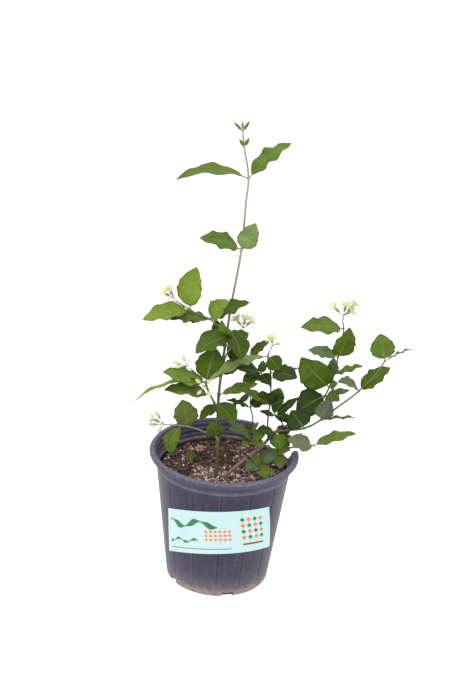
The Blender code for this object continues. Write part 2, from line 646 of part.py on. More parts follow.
def make_fallen_flower():
    """A shed flower that lies face up: petals round a small button."""
    centre = Vector(FALLEN_FLOWER) * MM
    bm = bmesh.new()
    bmesh.ops.create_icosphere(bm, subdivisions=1, radius=HUB_RADIUS)
    bmesh.ops.translate(bm, vec=centre, verts=bm.verts)
    flower = add_piece("fallen_flower", mesh_from(bm, "fallen_flower"), "flower")
    petals = []
    for number in range(PETALS):
        reach = on_ring(PETAL_LENGTH, 2 * math.pi * number / PETALS, -0.8 * MM)
        petals.append(leaf_mesh(f"petal_{number}", centre + reach * 0.13, reach * 0.87, PETAL_WIDTH,
                                Vector((0, 0, 1)), 0.05, 5))
    join_sheets(flower, petals)


def make_soil_leaf():
    """A shed round leaf that lies on the soil."""
    foot, reach, width = SOIL_LEAF
    foot, reach = Vector(foot) * MM, Vector(reach) * MM
    mesh = leaf_mesh("soil_leaf", foot, reach, width * MM, Vector((0, 0, 1)), 0.04, 6)
    thicken(add_piece("soil_leaf", mesh, "leaf"))


def make_sprout():
    """A seedling: a short stalk with a few leaves at its end."""
    foot, top, leaves = SPROUT
    points = [foot, Vector(foot).lerp(Vector(top), 0.5), top]
    stalk = tube("sprout_stalk", points, [STALK_RADIUS] * 3, smooth=1)
    sprout = add_piece("sprout", stalk.data.copy(), "young_stem")
    start = Vector(foot).lerp(Vector(top), 0.9) * MM
    sheets = []
    for number, (reach, width) in enumerate(leaves):
        sheets.append(leaf_mesh(f"sprout_leaf_{number}", start, Vector(reach) * MM, width * MM,
                                Vector((0, 0, 1)), 0.1, 10))
    join_sheets(sprout, sheets)


make_pot()
make_label()
make_soil()
for stem_name, stem_runs in STEMS.items():
    make_stem(stem_name, stem_runs)
for group_name, (run_name, point_index, group_leaves) in LEAF_GROUPS.items():
    make_leaf_group(group_name, run_name, point_index, group_leaves)
for cluster_name, (cluster_foot, cluster_crown, bud_tips) in CLUSTERS.items():
    make_cluster(cluster_name, cluster_foot, cluster_crown, bud_tips)
make_fallen_flower()
make_soil_leaf()
make_sprout()
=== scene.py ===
"""Looks of an arabian jasmine in a nursery pot, round its CAD frame. In metres, +Z up, label towards -Y."""

import math
import random

import bmesh
import bpy
from mathutils import Matrix, Vector, noise
from mathutils.kdtree import KDTree


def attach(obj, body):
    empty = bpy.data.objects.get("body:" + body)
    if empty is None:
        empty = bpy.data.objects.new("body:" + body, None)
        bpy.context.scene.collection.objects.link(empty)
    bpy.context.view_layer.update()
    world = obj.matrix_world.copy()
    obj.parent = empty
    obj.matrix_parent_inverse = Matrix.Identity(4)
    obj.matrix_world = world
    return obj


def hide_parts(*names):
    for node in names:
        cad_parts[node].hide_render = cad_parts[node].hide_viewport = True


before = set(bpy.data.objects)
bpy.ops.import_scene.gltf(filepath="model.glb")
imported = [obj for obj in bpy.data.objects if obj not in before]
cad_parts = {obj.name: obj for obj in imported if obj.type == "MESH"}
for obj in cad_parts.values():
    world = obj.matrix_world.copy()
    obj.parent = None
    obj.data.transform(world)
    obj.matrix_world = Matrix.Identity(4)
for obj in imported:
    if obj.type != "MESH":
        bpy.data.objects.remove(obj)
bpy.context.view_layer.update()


# Floor, light and camera
#
# The pot stands on a wide white floor that glows, so it shows no shadow, under one broad soft lamp in a white
# room. A long lens looks down on it, and is turned slightly so that the pot leans in the frame.

CAMERA_PLACE = (0, -2.0861, 1.2596)
CAMERA_LENS, CAMERA_SENSOR = 90, 36  # in millimetres
CAMERA_YAW, CAMERA_PITCH, CAMERA_ROLL = 0.146, 23.908, 3.79  # in degrees
FLOOR_SIZE, FLOOR_CLOUDS = 60, 3  # the clouds are a speckle's scale
FLOOR_DULL, FLOOR_CLEAN = (0.93, 0.93, 0.935), (0.95, 0.95, 0.95)
FLOOR_GLOW = 1.25
BLACK, WHITE = (0, 0, 0), (1, 1, 1)
ROOM_LIGHT, LAMP_LIGHT = 1.0, 1.4
LAMP_ANGLE, LAMP_TURN = 80, (22, 0, -30)  # in degrees


class Signal:
    """What a node puts out. Arithmetic with it adds Math nodes to its tree."""

    def __init__(self, node, output=0):
        self.socket, self.tree = node.outputs[output], node.id_data

    def __add__(self, other):
        return maths("ADD", self, other)

    def __sub__(self, other):
        return maths("SUBTRACT", self, other)

    def __rsub__(self, other):
        return maths("SUBTRACT", other, self)

    def __mul__(self, other):
        return maths("MULTIPLY", self, other)

    def __pow__(self, other):
        return maths("POWER", self, other)

    def __abs__(self):
        return maths("ABSOLUTE", self)


def feed(socket, value):
    """Links a signal to a socket, or gives it a plain value."""
    if isinstance(value, Signal):
        value.tree.links.new(value.socket, socket)
    else:
        socket.default_value = (*value, 1) if socket.type == "RGBA" else value


def add_node(tree, kind, sockets=None, **settings):
    """A node with its settings, and each of its sockets given a signal or a value."""
    node = tree.nodes.new("ShaderNode" + kind)
    for name, value in settings.items():
        setattr(node, name, value)
    for name, value in (sockets or {}).items():
        feed(node.inputs[name], value)
    return node


def tree_of(values):
    """The tree that the signals among the values belong to."""
    return next(value.tree for value in values if isinstance(value, Signal))


def object_place(tree):
    return Signal(add_node(tree, "TexCoord"), "Object")


def maths(operation, *values):
    return Signal(add_node(tree_of(values), "Math", dict(enumerate(values)), operation=operation))


def mixed(share, first, second):
    sockets = {0: share, 6: first, 7: second}
    return Signal(add_node(tree_of(sockets.values()), "Mix", sockets, data_type="RGBA"), 2)


def speckle(coords, scale, detail=3.0, roughness=0.55):
    sockets = {"Vector": coords, "Scale": scale, "Detail": detail, "Roughness": roughness}
    return Signal(add_node(coords.tree, "TexNoise", sockets))


def new_material(name):
    """A material, and the place of its points in their object."""
    material = bpy.data.materials.new(name)
    material.use_nodes = True
    return material, object_place(material.node_tree)


def set_shader(material, sockets):
    for name, value in sockets.items():
        feed(material.node_tree.nodes["Principled BSDF"].inputs[name], value)


def new_object(name, bm, *materials):
    """An object at the origin from a bmesh, which this frees."""
    mesh = bpy.data.meshes.new(name)
    bm.to_mesh(mesh)
    bm.free()
    piece = bpy.data.objects.new(name, mesh)
    for material in materials:
        mesh.materials.append(material)
    bpy.context.scene.collection.objects.link(piece)
    return piece


def make_floor():
    material, coords = new_material("floor_white")
    tint = mixed(speckle(coords, FLOOR_CLOUDS), FLOOR_DULL, FLOOR_CLEAN)
    set_shader(material, {"Emission Color": tint, "Emission Strength": FLOOR_GLOW, "Base Color": BLACK,
                          "Roughness": 1})
    bm = bmesh.new()
    bmesh.ops.create_grid(bm, x_segments=1, y_segments=1, size=FLOOR_SIZE / 2)
    new_object("floor", bm, material)


def make_light():
    world = bpy.data.worlds.new("white_room")
    world.use_nodes = True
    background = world.node_tree.nodes["Background"].inputs
    feed(background["Color"], WHITE)
    feed(background["Strength"], ROOM_LIGHT)
    bpy.context.scene.world = world
    lamp = bpy.data.lights.new("soft_lamp", "SUN")
    lamp.energy = LAMP_LIGHT
    lamp.angle = math.radians(LAMP_ANGLE)
    holder = bpy.data.objects.new("soft_lamp", lamp)
    holder.rotation_euler = [math.radians(turn) for turn in LAMP_TURN]
    bpy.context.scene.collection.objects.link(holder)
    bpy.context.scene.view_settings.view_transform = "Standard"


def make_camera():
    yaw, pitch, roll = (math.radians(turn) for turn in (CAMERA_YAW, CAMERA_PITCH, CAMERA_ROLL))
    ahead = Vector((math.sin(yaw) * math.cos(pitch), math.cos(yaw) * math.cos(pitch), -math.sin(pitch)))
    right = ahead.cross(Vector((0, 0, 1))).normalized()
    up = right.cross(ahead)
    rolled_right = right * math.cos(roll) + up * math.sin(roll)
    rolled_up = up * math.cos(roll) - right * math.sin(roll)
    turn = Matrix((rolled_right, rolled_up, -ahead)).transposed()
    data = bpy.data.cameras.new("camera")
    data.lens, data.sensor_width = CAMERA_LENS, CAMERA_SENSOR
    camera = bpy.data.objects.new("camera", data)
    camera.matrix_world = Matrix.Translation(CAMERA_PLACE) @ turn.to_4x4()
    bpy.context.scene.collection.objects.link(camera)
    bpy.context.scene.camera = camera


make_floor()
make_light()
make_camera()


# Pot
#
# A moulded nursery pot of dark plastic, in one piece: a rolled lip, a collar, a tapered wall with shallow
# grooves, and slots cut through the corner of its base. Part of its rim is broken out. It is scuffed, with
# pale dust on its lip and ridges and dried mud round its foot. Painted light is laid in its colour too: a
# painted highlight on top of the lip and painted shade under its curl, and down each groove a painted
# shade line with a painted highlight beside it.

MM = 0.001
POT_BASE_RADIUS, POT_NECK_RADIUS, POT_NECK_HEIGHT = 68.5, 91.2, 178  # in millimetres, as all its sizes
POT_WALL = 1.8
GROOVES, GROOVE_DEPTH, GROOVE_HALF_WIDTH = 14, 0.9, 1.1
GROOVE_LOW, GROOVE_HIGH = 12, 166
GROOVE_LOW_FADE, GROOVE_HIGH_FADE = 8, 6  # how far a groove takes to reach its depth from either end
STEPS_PER_GROOVE = 24
GROOVE_CROWDING = 0.84  # how far the mesh's steps crowd towards each groove
RIDGE_FIRST, RIDGE_SPACING, RIDGE_DEPTH = 163.5, 6.6, 0.9
SLOT_ANGLES = [-76, -4, 68, 140, 212]
SLOT_WIDTH, SLOT_HEIGHT, SLOT_DEPTH = 16, 8, 12
SLOT_CORNER, SLOT_INSET = 1.2, 1  # a slot's rounded corners, and how far it is set in from the wall's foot
# The torn edge of the rim: angle round the pot in degrees, and height of what is left.
TEAR = [(5, 194), (7, 184), (8.5, 178), (10.5, 173), (14, 170.5), (18.5, 166.5), (21, 167.5), (24, 164),
        (29, 163), (37, 165.5), (43, 163.5), (47, 166.5), (52, 164.5), (56, 166), (62, 170),
        (65, 178), (67.5, 194)]
TEAR_ROUGHNESS = 0.9
TEAR_INSIDE, TEAR_WIDTH, TEAR_TOP = 78, 28, 200  # the air above it: its inner radius, its width and its top
TEAR_COLUMNS, TEAR_ROWS = 110, 8
POT_CRISP = 38  # in degrees: edges sharper than this stay crisp
# The second colour is pale dust's, and also that of the painted highlights on the lip and beside each groove.
POT_BLACK, POT_DUST_AND_HIGHLIGHT, POT_SCUFF = (0.020, 0.018, 0.050), (0.135, 0.130, 0.175), (0.26, 0.25, 0.31)
# The first colour here is painted shade, laid down the hollow of each groove.
GROOVE_PAINTED_SHADE, MUD = (0.012, 0.011, 0.02), (0.30, 0.235, 0.21)
POT_SHEEN, POT_ROUGHNESS, DIRT_ROUGHNESS = 0.36, 0.36, 0.4  # dust and mud add the last to the plastic's
# How strongly each shows: the painted shade in a groove, the painted highlight along one edge of it, the rubs
# and the dusty streaks.
GROOVE_SHADE_SHARE, GROOVE_HIGHLIGHT_SHARE, RUBS, STREAKS = 0.6, 0.38, 0.5, 0.2
GROOVE_HIGHLIGHT_SHIFT = 0.0155  # round the pot, in radians: how far the painted highlight sits to one side of the groove's painted shade
LINES_START, LINES_FULL, LINES_FADE, LINES_END = 10, 22, 158, 166  # heights where the grooves' painted shade and painted highlight begin and fade
STREAK_STRETCH, RUB_STRETCH, RUB_TURN = (26, 26, 5), (18, 18, 150), 0.12
MOTTLE_COARSE, MOTTLE_FINE, MOTTLE_STEP = 0.65, 0.35, 5.3  # the two sizes' shares, and how far apart they are
# The share of pale dust and of mud on the outside at each height. From the collar up, the pale share is
# also painted light: highest on top of the lip as a painted highlight, and almost nothing under its curl as
# painted shade.
DUST_AND_LIP_LIGHT_AT = [(0, 0.3), (14, 0.26), (42, 0.06), (60, 0), (158, 0), (168, 0.12), (178, 0.18), (180.3, 0.02),
           (181.5, 0.35), (184, 0.45), (185.2, 0.25), (186.4, 0.9), (189, 1)]
MUD_AT = [(0, 1), (7.5, 1), (10, 0.7), (16, 0.34), (30, 0.06), (200, 0)]
INSIDE_DUST, RIDGE_DUST = 0.2, 0.6
COLLAR_FOOT, COLLAR_INSIDE = 167, 92.9  # above this height, what lies within this radius is the inside
TIDE_HEIGHT, TIDE_REACH = 164.5, 4.5  # the crust line above the soil


def wall_radius(height):
    return POT_BASE_RADIUS + (POT_NECK_RADIUS - POT_BASE_RADIUS) * height / POT_NECK_HEIGHT


def face_outwards(bm):
    bmesh.ops.recalc_face_normals(bm, faces=bm.faces)
    if bm.calc_volume(signed=True) < 0:
        bmesh.ops.reverse_faces(bm, faces=bm.faces)


def between(pairs, place):
    """The value at a place along a list of (place, value) pairs, in a straight line from each to the next."""
    for (start, first), (end, last) in zip(pairs, pairs[1:]):
        if place <= end:
            return first + (last - first) * (place - start) / (end - start)
    return pairs[-1][1]


def ridge(height):
    """How far the inside of the wall stands in at a height, from 0 to 1, over its rows of moulded ridges."""
    if height < RIDGE_FIRST - RIDGE_SPACING / 2:
        return 0
    return (0.5 + 0.5 * math.cos(2 * math.pi * (height - RIDGE_FIRST) / RIDGE_SPACING)) ** 2


def pot_outline():
    """Radius and height from the centre of the floor up the inside, over the lip and down the outside."""
    points = [(0, POT_WALL), (30, POT_WALL), (58, POT_WALL), (63, 2.0), (65.6, 3.2), (67.2, 5.6)]
    points += [(wall_radius(z) - POT_WALL, z) for z in (12, 40, 80, 120, 148)]
    inside = [(148, wall_radius(148) - POT_WALL), (170, 88.4), (179, 90.3), (186.5, 92.4)]
    for z in range(155, 187):
        points.append((between(inside, z) - RIDGE_DEPTH * ridge(z), z))
    points += [(92.7, 187.0), (93.3, 187.9), (94.3, 188.4), (95.6, 188.5), (97.2, 188.2), (98.5, 187.5),
               (99.5, 186.3), (100.0, 184.8), (99.9, 183.2), (99.3, 181.8), (98.2, 180.9), (96.8, 180.5),
               (95.4, 180.2), (94.5, 179.6), (94.1, 178.4), (93.6, 176.0), (92.9, 173.0), (92.0, 170.0),
               (91.2, 168.2), (90.4, 167.0), (89.9, 166.2)]
    points += [(wall_radius(z), z) for z in (165, 163, 160, 155, 148, 138, 126, 114, 102, 90, 78, 66, 54, 43,
                                             34, 26, 20, 16, 13, 10.5, 8.5, 7)]
    points += [(69.3, 5.6), (69.0, 4.2), (68.4, 2.8), (67.4, 1.6), (66.1, 0.7), (64.4, 0.1), (62, 0), (52, 0),
               (26, 0), (0, 0)]
    return points


def on_ring(radius, angle, height):
    return Vector((radius * math.cos(angle), radius * math.sin(angle), height))


def spun(points, steps):
    """A closed bmesh of a profile, given as radius and height in millimetres, turned once round Z."""
    bm = bmesh.new()
    line = [bm.verts.new((radius * MM, 0, height * MM)) for radius, height in points]
    edges = [bm.edges.new(pair) for pair in zip(line, line[1:])]
    bmesh.ops.spin(bm, geom=line + edges, cent=(0, 0, 0), axis=(0, 0, 1), angle=2 * math.pi, steps=steps,
                   use_merge=True)
    bmesh.ops.remove_doubles(bm, verts=bm.verts, dist=0.005 * MM)
    face_outwards(bm)
    return bm


def groove_depth(angle, height):
    turn = (angle + math.pi / 2) * GROOVES / (2 * math.pi)
    away = abs(turn - round(turn)) * 2 * math.pi / GROOVES * wall_radius(height)
    across = max(0.0, 1 - (away / GROOVE_HALF_WIDTH) ** 2)
    along = min(1.0, max(0.0, height - GROOVE_LOW) / GROOVE_LOW_FADE,
                max(0.0, GROOVE_HIGH - height) / GROOVE_HIGH_FADE)
    return GROOVE_DEPTH * across * along


def torn_height(degrees, radius):
    rough = noise.fractal(Vector((degrees * 0.35, radius * 0.2, 3)), 1.0, 2.0, 4)
    return between(TEAR, degrees) + TEAR_ROUGHNESS * rough


def tear_cutter():
    """The air over the torn edge: a strip bent round the rim, from the ragged height to above the lip."""
    first, last = TEAR[0][0], TEAR[-1][0]
    bm = bmesh.new()
    bmesh.ops.create_grid(bm, x_segments=TEAR_COLUMNS, y_segments=TEAR_ROWS, size=0.5)
    raised = bmesh.ops.extrude_face_region(bm, geom=bm.faces[:])["geom"]
    raised = {item for item in raised if isinstance(item, bmesh.types.BMVert)}
    for vert in bm.verts:
        degrees = first + (vert.co.x + 0.5) * (last - first)
        radius = TEAR_INSIDE + (vert.co.y + 0.5) * TEAR_WIDTH
        height = TEAR_TOP if vert in raised else torn_height(degrees, radius)
        vert.co = on_ring(radius, math.radians(degrees), 0) * MM
        vert.co.z = height * MM
    face_outwards(bm)
    return new_object("tear_cutter", bm)


def slot_cutter(degrees):
    bm = bmesh.new()
    bmesh.ops.create_cube(bm, size=1)
    bmesh.ops.scale(bm, vec=Vector((SLOT_DEPTH, SLOT_WIDTH, 2 * SLOT_HEIGHT)) * MM, verts=bm.verts)
    upright = [edge for edge in bm.edges if abs((edge.verts[0].co - edge.verts[1].co).x) > 1 * MM]
    bmesh.ops.bevel(bm, geom=upright, offset=SLOT_CORNER * MM, offset_type="OFFSET", affect="EDGES",
                    segments=3, profile=0.5, material=-1)
    angle = math.radians(degrees)
    bmesh.ops.rotate(bm, cent=(0, 0, 0), matrix=Matrix.Rotation(angle, 3, "Z"), verts=bm.verts)
    bmesh.ops.translate(bm, vec=on_ring((POT_BASE_RADIUS - SLOT_INSET) * MM, angle, 0), verts=bm.verts)
    return new_object(f"slot_cutter_{degrees}", bm)


def apply_modifiers(piece):
    graph = bpy.context.evaluated_depsgraph_get()
    mesh = bpy.data.meshes.new_from_object(piece.evaluated_get(graph))
    piece.modifiers.clear()
    piece.data = mesh


def cut_away(piece, cutters):
    for cutter in cutters:
        modifier = piece.modifiers.new("cut", "BOOLEAN")
        modifier.operation = "DIFFERENCE"
        modifier.object = cutter
    apply_modifiers(piece)
    for cutter in cutters:
        bpy.data.objects.remove(cutter)


def paint(mesh, name, colour_at):
    """A colour attribute on the mesh's points, from a function of their place in millimetres."""
    layer = mesh.color_attributes.new(name, "FLOAT_COLOR", "POINT")
    for vert, cell in zip(mesh.vertices, layer.data):
        cell.color = (*colour_at(vert.co / MM), 1)


def pot_wear_and_lip_light(place):
    """Red is pale dusting, with a painted highlight on top of the lip and painted shade under its curl; green
    is dried mud and blue is the inside of the pot, each from 0 to 1.
    """
    radius = math.hypot(place.x, place.y)
    inside = radius < (wall_radius(place.z) - POT_WALL / 2 if place.z < COLLAR_FOOT else COLLAR_INSIDE)
    if inside:
        tide = max(0.0, 1 - abs(place.z - TIDE_HEIGHT) / TIDE_REACH)
        return (INSIDE_DUST + RIDGE_DUST * ridge(place.z), tide, 1)
    return (between(DUST_AND_LIP_LIGHT_AT, place.z), between(MUD_AT, place.z), 0)


def signals(node):
    return [Signal(node, index) for index in range(len(node.outputs))]


def painted(coords, name, output="Color"):
    """An attribute of the mesh, in the tree that the coordinates belong to."""
    return Signal(add_node(coords.tree, "Attribute", attribute_name=name), output)


def spread(value, low, high, first=0.0, last=1.0):
    """The value, turned from the range low to high into first to last, and held there."""
    return Signal(add_node(value.tree, "MapRange", {0: value, 1: low, 2: high, 3: first, 4: last}))


def new_group(name, inputs, outputs):
    """A node group of plain numbers, with its inputs' signals and its output sockets."""
    group = bpy.data.node_groups.new(name, "ShaderNodeTree")
    for label, value in inputs.items():
        socket = group.interface.new_socket(name=label, in_out="INPUT", socket_type="NodeSocketFloat")
        socket.default_value = value
    for label in outputs:
        group.interface.new_socket(name=label, in_out="OUTPUT", socket_type="NodeSocketFloat")
    given, out = group.nodes.new("NodeGroupInput"), group.nodes.new("NodeGroupOutput")
    return group, signals(given)[:len(inputs)], out.inputs


def make_mottle():
    """A node group: an even speckle of two sizes, from Low to High, for finishes that aren't one tint."""
    inputs = {"Scale": 100.0, "Low": 0.8, "High": 1.2}
    group, (scale, low, high), out = new_group("mottle", inputs, ["Value"])
    coords = object_place(group)
    fine = speckle(coords, scale * MOTTLE_STEP, 2)
    both = speckle(coords, scale, 4) * MOTTLE_COARSE + fine * MOTTLE_FINE
    feed(out["Value"], spread(both, 0.32, 0.68, low, high))
    return group


MOTTLE = make_mottle()


def mottled(coords, scale, low, high):
    sockets = {"Scale": scale, "Low": low, "High": high}
    return Signal(add_node(coords.tree, "Group", sockets, node_tree=MOTTLE))


def finished(material, colour, rough, height, strength, distance):
    """The material with its colour, roughness and bump, whose distance is in millimetres."""
    sockets = {"Height": height, "Strength": strength, "Distance": distance * MM}
    bump = Signal(add_node(height.tree, "Bump", sockets))
    set_shader(material, {"Base Color": colour, "Roughness": rough, "Normal": bump})
    return material


def pot_material():
    material, coords = new_material("pot_plastic")
    wear_and_lip_light = add_node(coords.tree, "SeparateColor", {0: painted(coords, "wear_and_lip_light")})
    dust_and_lip_light_share, mud_share, inside = signals(wear_and_lip_light)
    x, y, z = signals(add_node(coords.tree, "SeparateXYZ", {0: coords}))
    angle = maths("ARCTAN2", y, x)
    grooved = spread(z, LINES_START * MM, LINES_FULL * MM) * spread(z, LINES_END * MM, LINES_FADE * MM)
    grooved = grooved * (1.0 - inside)

    def line_round(shift, low, high):
        turn = (angle + (math.pi / 2 + shift)) * float(GROOVES)
        return spread(maths("COSINE", turn), low, high) * grooved

    def drawn_out(scale, turn=0):
        sockets = {"Vector": coords, "Rotation": (0, turn, 0), "Scale": scale}
        return Signal(add_node(coords.tree, "Mapping", sockets))

    # Painted shade down each groove, and a painted highlight along one edge of it.
    groove_shade, groove_highlight = line_round(0, 0.982, 0.996), line_round(GROOVE_HIGHLIGHT_SHIFT, 0.989, 0.999)
    streaks = spread(speckle(drawn_out(STREAK_STRETCH), 4, 5, 0.7), 0.46, 0.72)
    rubs = spread(speckle(drawn_out(RUB_STRETCH, RUB_TURN), 1.6, 6, 0.7), 0.62, 0.74)
    rubs = rubs * spread(speckle(coords, 22, 4), 0.42, 0.66)
    # Pale dust, which on the lip also carries the painted highlight and the painted shade.
    dust_and_lip_light = (dust_and_lip_light_share + streaks * STREAKS) * mottled(coords, 160, 0.35, 1.45)
    mud = mud_share * mottled(coords, 90, 0.15, 1.5)
    colour = mixed(dust_and_lip_light, POT_BLACK, POT_DUST_AND_HIGHLIGHT)
    colour = mixed(groove_highlight * GROOVE_HIGHLIGHT_SHARE, colour, POT_DUST_AND_HIGHLIGHT)
    colour = mixed(groove_shade * GROOVE_SHADE_SHARE, colour, GROOVE_PAINTED_SHADE)
    colour = mixed(rubs * RUBS, colour, POT_SCUFF)
    colour = mixed(spread(mud, 0.0, 1.0), colour, MUD)
    set_shader(material, {"Specular IOR Level": POT_SHEEN})
    bumps = speckle(coords, 420, 3) + streaks * 0.6
    return finished(material, colour, (dust_and_lip_light + mud) * DIRT_ROUGHNESS + POT_ROUGHNESS, bumps, 0.25, 0.3)


def make_pot():
    steps = GROOVES * STEPS_PER_GROOVE
    bm = spun(pot_outline(), steps)
    for vert in bm.verts:
        radius, height = math.hypot(vert.co.x, vert.co.y) / MM, vert.co.z / MM
        if radius < 1:
            continue
        angle = math.atan2(vert.co.y, vert.co.x) + math.pi / 2
        angle -= GROOVE_CROWDING * math.sin(GROOVES * angle) / GROOVES
        angle -= math.pi / 2
        if height < GROOVE_HIGH and radius > wall_radius(height) - 0.5:
            radius -= groove_depth(angle, height)
        vert.co = on_ring(radius, angle, height) * MM
    pot = new_object("pot_body", bm, pot_material())
    cut_away(pot, [tear_cutter()] + [slot_cutter(degrees) for degrees in SLOT_ANGLES])
    pot.data.shade_smooth()
    pot.data.set_sharp_from_angle(angle=math.radians(POT_CRISP))
    paint(pot.data, "wear_and_lip_light", pot_wear_and_lip_light)
    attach(pot, "root")
    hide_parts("pot")


make_pot()


# Label
#
# A printed plastic-coated paper sticker, pressed round the front of the pot. It is one straight sheet on a
# cone, so its two ends hang lower than its middle. It carries a plain pattern of bands, dots and diamonds.

LABEL_LEFT_FOOT, LABEL_LEFT_HEAD = -150, -145  # angles round the pot in degrees
LABEL_RIGHT_FOOT, LABEL_RIGHT_HEAD = -27, -43
LABEL_CROWN = -74
LABEL_BOTTOM, LABEL_TOP = 74.5, 142.8  # in millimetres
LABEL_DROP = 0.0043  # for each squared degree away from the crown
LABEL_GAP, LABEL_THICKNESS = 0.35, 0.4
LABEL_COLUMNS, LABEL_ROWS = 72, 12
LABEL_CRISP = 50  # in degrees: edges sharper than this stay crisp
LABEL_ASPECT = 2.5  # the sheet's width over its height
MINT, MINT_SHADE = (0.55, 0.75, 0.75), 0.95
LEAF_GREEN, SLATE = (0.012, 0.19, 0.05), (0.23, 0.25, 0.23)
ORANGE, UMBER = (0.88, 0.20, 0.02), (0.20, 0.05, 0.02)
# The pattern's parts, each with its left, right, bottom and top as shares of the sheet.
LONG_LINE, SHORT_LINE = (0.05, 0.60, 0.10, 0.125), (0.70, 0.90, 0.17, 0.215)
DOT_FIELD, TILE_FIELD = (0.385, 0.615, 0.29, 0.58), (0.686, 0.914, 0.286, 0.857)
# Each ribbon's pitch, shift, height, swing, thickness and swell, then where both start and each one ends.
UPPER_RIBBON, LOWER_RIBBON = (22, 0.4, 0.70, 0.07, 0.045, 0.03), (40, 2.0, 0.30, 0.035, 0.022, 0.012)
RIBBON_START, UPPER_RIBBON_END, LOWER_RIBBON_END = 0.05, 0.50, 0.34
DOT_COLUMNS, DOT_SIZE = 26.0, 0.42
TILE_COLUMNS, TILE_ROWS, TILE_SIZE = 17.5, 7.0, 0.40


def mapped(tree, name):
    """Where a point lies across and up the mesh's own map."""
    sheet = Signal(add_node(tree, "UVMap", uv_map=name))
    return signals(add_node(tree, "SeparateXYZ", {0: sheet}))[:2]


def label_material():
    material, coords = new_material("label_paper")
    across, up = mapped(coords.tree, "sheet")

    def span(value, low, high, soft=0.004):
        return spread(value, low - soft, low + soft) * spread(value, high - soft, high + soft, 1.0, 0.0)

    def field(left, right, bottom, top):
        return span(up, bottom, top) * span(across, left, right)

    def wave(pitch, shift, height, swing):
        return maths("SINE", across * pitch + shift) * swing + height

    def ribbon(pitch, shift, height, swing, thick, swell):
        """A wavy band whose thickness swells and thins along it."""
        away = abs(up - wave(pitch, shift, height, swing))
        return spread(away - wave(pitch * 2, shift + 1, thick, swell), -0.012, 0.012, 1.0, 0.0)

    def diamonds(columns, rows, size):
        away = abs(maths("FRACT", across * columns) - 0.5) + abs(maths("FRACT", up * rows) - 0.5)
        return spread(away, size - 0.04, size + 0.04, 1.0, 0.0)

    def odd_ones(columns, rows):
        cell = maths("FLOOR", across * columns) + maths("FLOOR", up * rows)
        return maths("ROUND", maths("MODULO", cell, 2.0))

    colour = mixed(mottled(coords, 30, 0.0, 1.0), MINT, [part * MINT_SHADE for part in MINT])
    upper = ribbon(*UPPER_RIBBON) * span(across, RIBBON_START, UPPER_RIBBON_END)
    lower = ribbon(*LOWER_RIBBON) * span(across, RIBBON_START, LOWER_RIBBON_END)
    colour = mixed(maths("MAXIMUM", upper, lower), colour, LEAF_GREEN)
    colour = mixed(field(*LONG_LINE), colour, SLATE)
    dots = diamonds(DOT_COLUMNS, DOT_COLUMNS / LABEL_ASPECT, DOT_SIZE)
    colour = mixed(dots * field(*DOT_FIELD), colour, ORANGE)
    tiles = diamonds(TILE_COLUMNS, TILE_ROWS, TILE_SIZE)
    tile_tone = mixed(odd_ones(TILE_COLUMNS, TILE_ROWS), ORANGE, LEAF_GREEN)
    colour = mixed(tiles * field(*TILE_FIELD), colour, tile_tone)
    colour = mixed(field(*SHORT_LINE), colour, UMBER)
    rough = spread(speckle(coords, 60), 0.3, 0.7, 0.32, 0.5)
    return finished(material, colour, rough, speckle(coords, 70, 2), 0.15, 0.4)


def make_label():
    bm = bmesh.new()
    bm.loops.layers.uv.new("sheet")
    bmesh.ops.create_grid(bm, x_segments=LABEL_COLUMNS, y_segments=LABEL_ROWS, size=0.5, calc_uvs=True)
    for vert in bm.verts:
        across, up = vert.co.x + 0.5, vert.co.y + 0.5
        left = LABEL_LEFT_FOOT + (LABEL_LEFT_HEAD - LABEL_LEFT_FOOT) * up
        right = LABEL_RIGHT_FOOT + (LABEL_RIGHT_HEAD - LABEL_RIGHT_FOOT) * up
        degrees = left + (right - left) * across
        height = LABEL_BOTTOM + (LABEL_TOP - LABEL_BOTTOM) * up - LABEL_DROP * (degrees - LABEL_CROWN) ** 2
        radius = wall_radius(height) + LABEL_GAP + LABEL_THICKNESS / 2
        vert.co = on_ring(radius, math.radians(degrees), height) * MM
    label = new_object("label_sheet", bm, label_material())
    label.data.shade_smooth()
    solidify = label.modifiers.new("thickness", "SOLIDIFY")
    solidify.thickness = LABEL_THICKNESS * MM
    solidify.offset = 0
    apply_modifiers(label)
    label.data.set_sharp_from_angle(angle=math.radians(LABEL_CRISP))
    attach(label, "root")
    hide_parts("label")


make_label()


# Potting mix
#
# Dark loam and composted bark, tipped in loose and settled by watering. It is a lumpy bed with pale pumice
# grit washed out on top, thick near the front, and darker crumbs of bark between.

SOIL_TOP, SOIL_BOTTOM, SOIL_OFF_WALL = 159, 2.15, 3.05  # in millimetres
SOIL_SHOULDER = 2.5  # how far the bed's rim lies below its top
SOIL_RINGS, SOIL_STEPS = 42, 150
SOIL_LUMPS, SOIL_CRUMBS = 1.0, 0.7  # how high each stands
LOAM, LOAM_RED, LOAM_PALE = (0.026, 0.016, 0.013), (0.085, 0.040, 0.028), (0.16, 0.10, 0.075)
GRIT_COUNT, GRIT_SIZES, GRIT_SEED = 1500, (1.8, 4.4), 5
BARK_COUNT, BARK_SIZES, BARK_SEED = 420, (2.6, 7.0), 8
BARK_SHARE = 0.6  # how likely a spot is to show bark
BIG_SHARE, BIG_SIZE = 0.12, 1.5  # the share of grains that are big, and how much bigger they are
GRAIN_RISE = 0.25  # how far a grain's middle stands above the bed, as a share of its size
GRIT_TONES = [(0.11, 0.065, 0.045), (0.24, 0.16, 0.115), (0.37, 0.275, 0.21), (0.50, 0.41, 0.325),
              (0.70, 0.63, 0.54)]
BARK_TONES = [(0.03, 0.018, 0.013), (0.10, 0.048, 0.032), (0.20, 0.105, 0.07)]
AROUND = 6.28  # a whole turn in radians, for a turn drawn at random


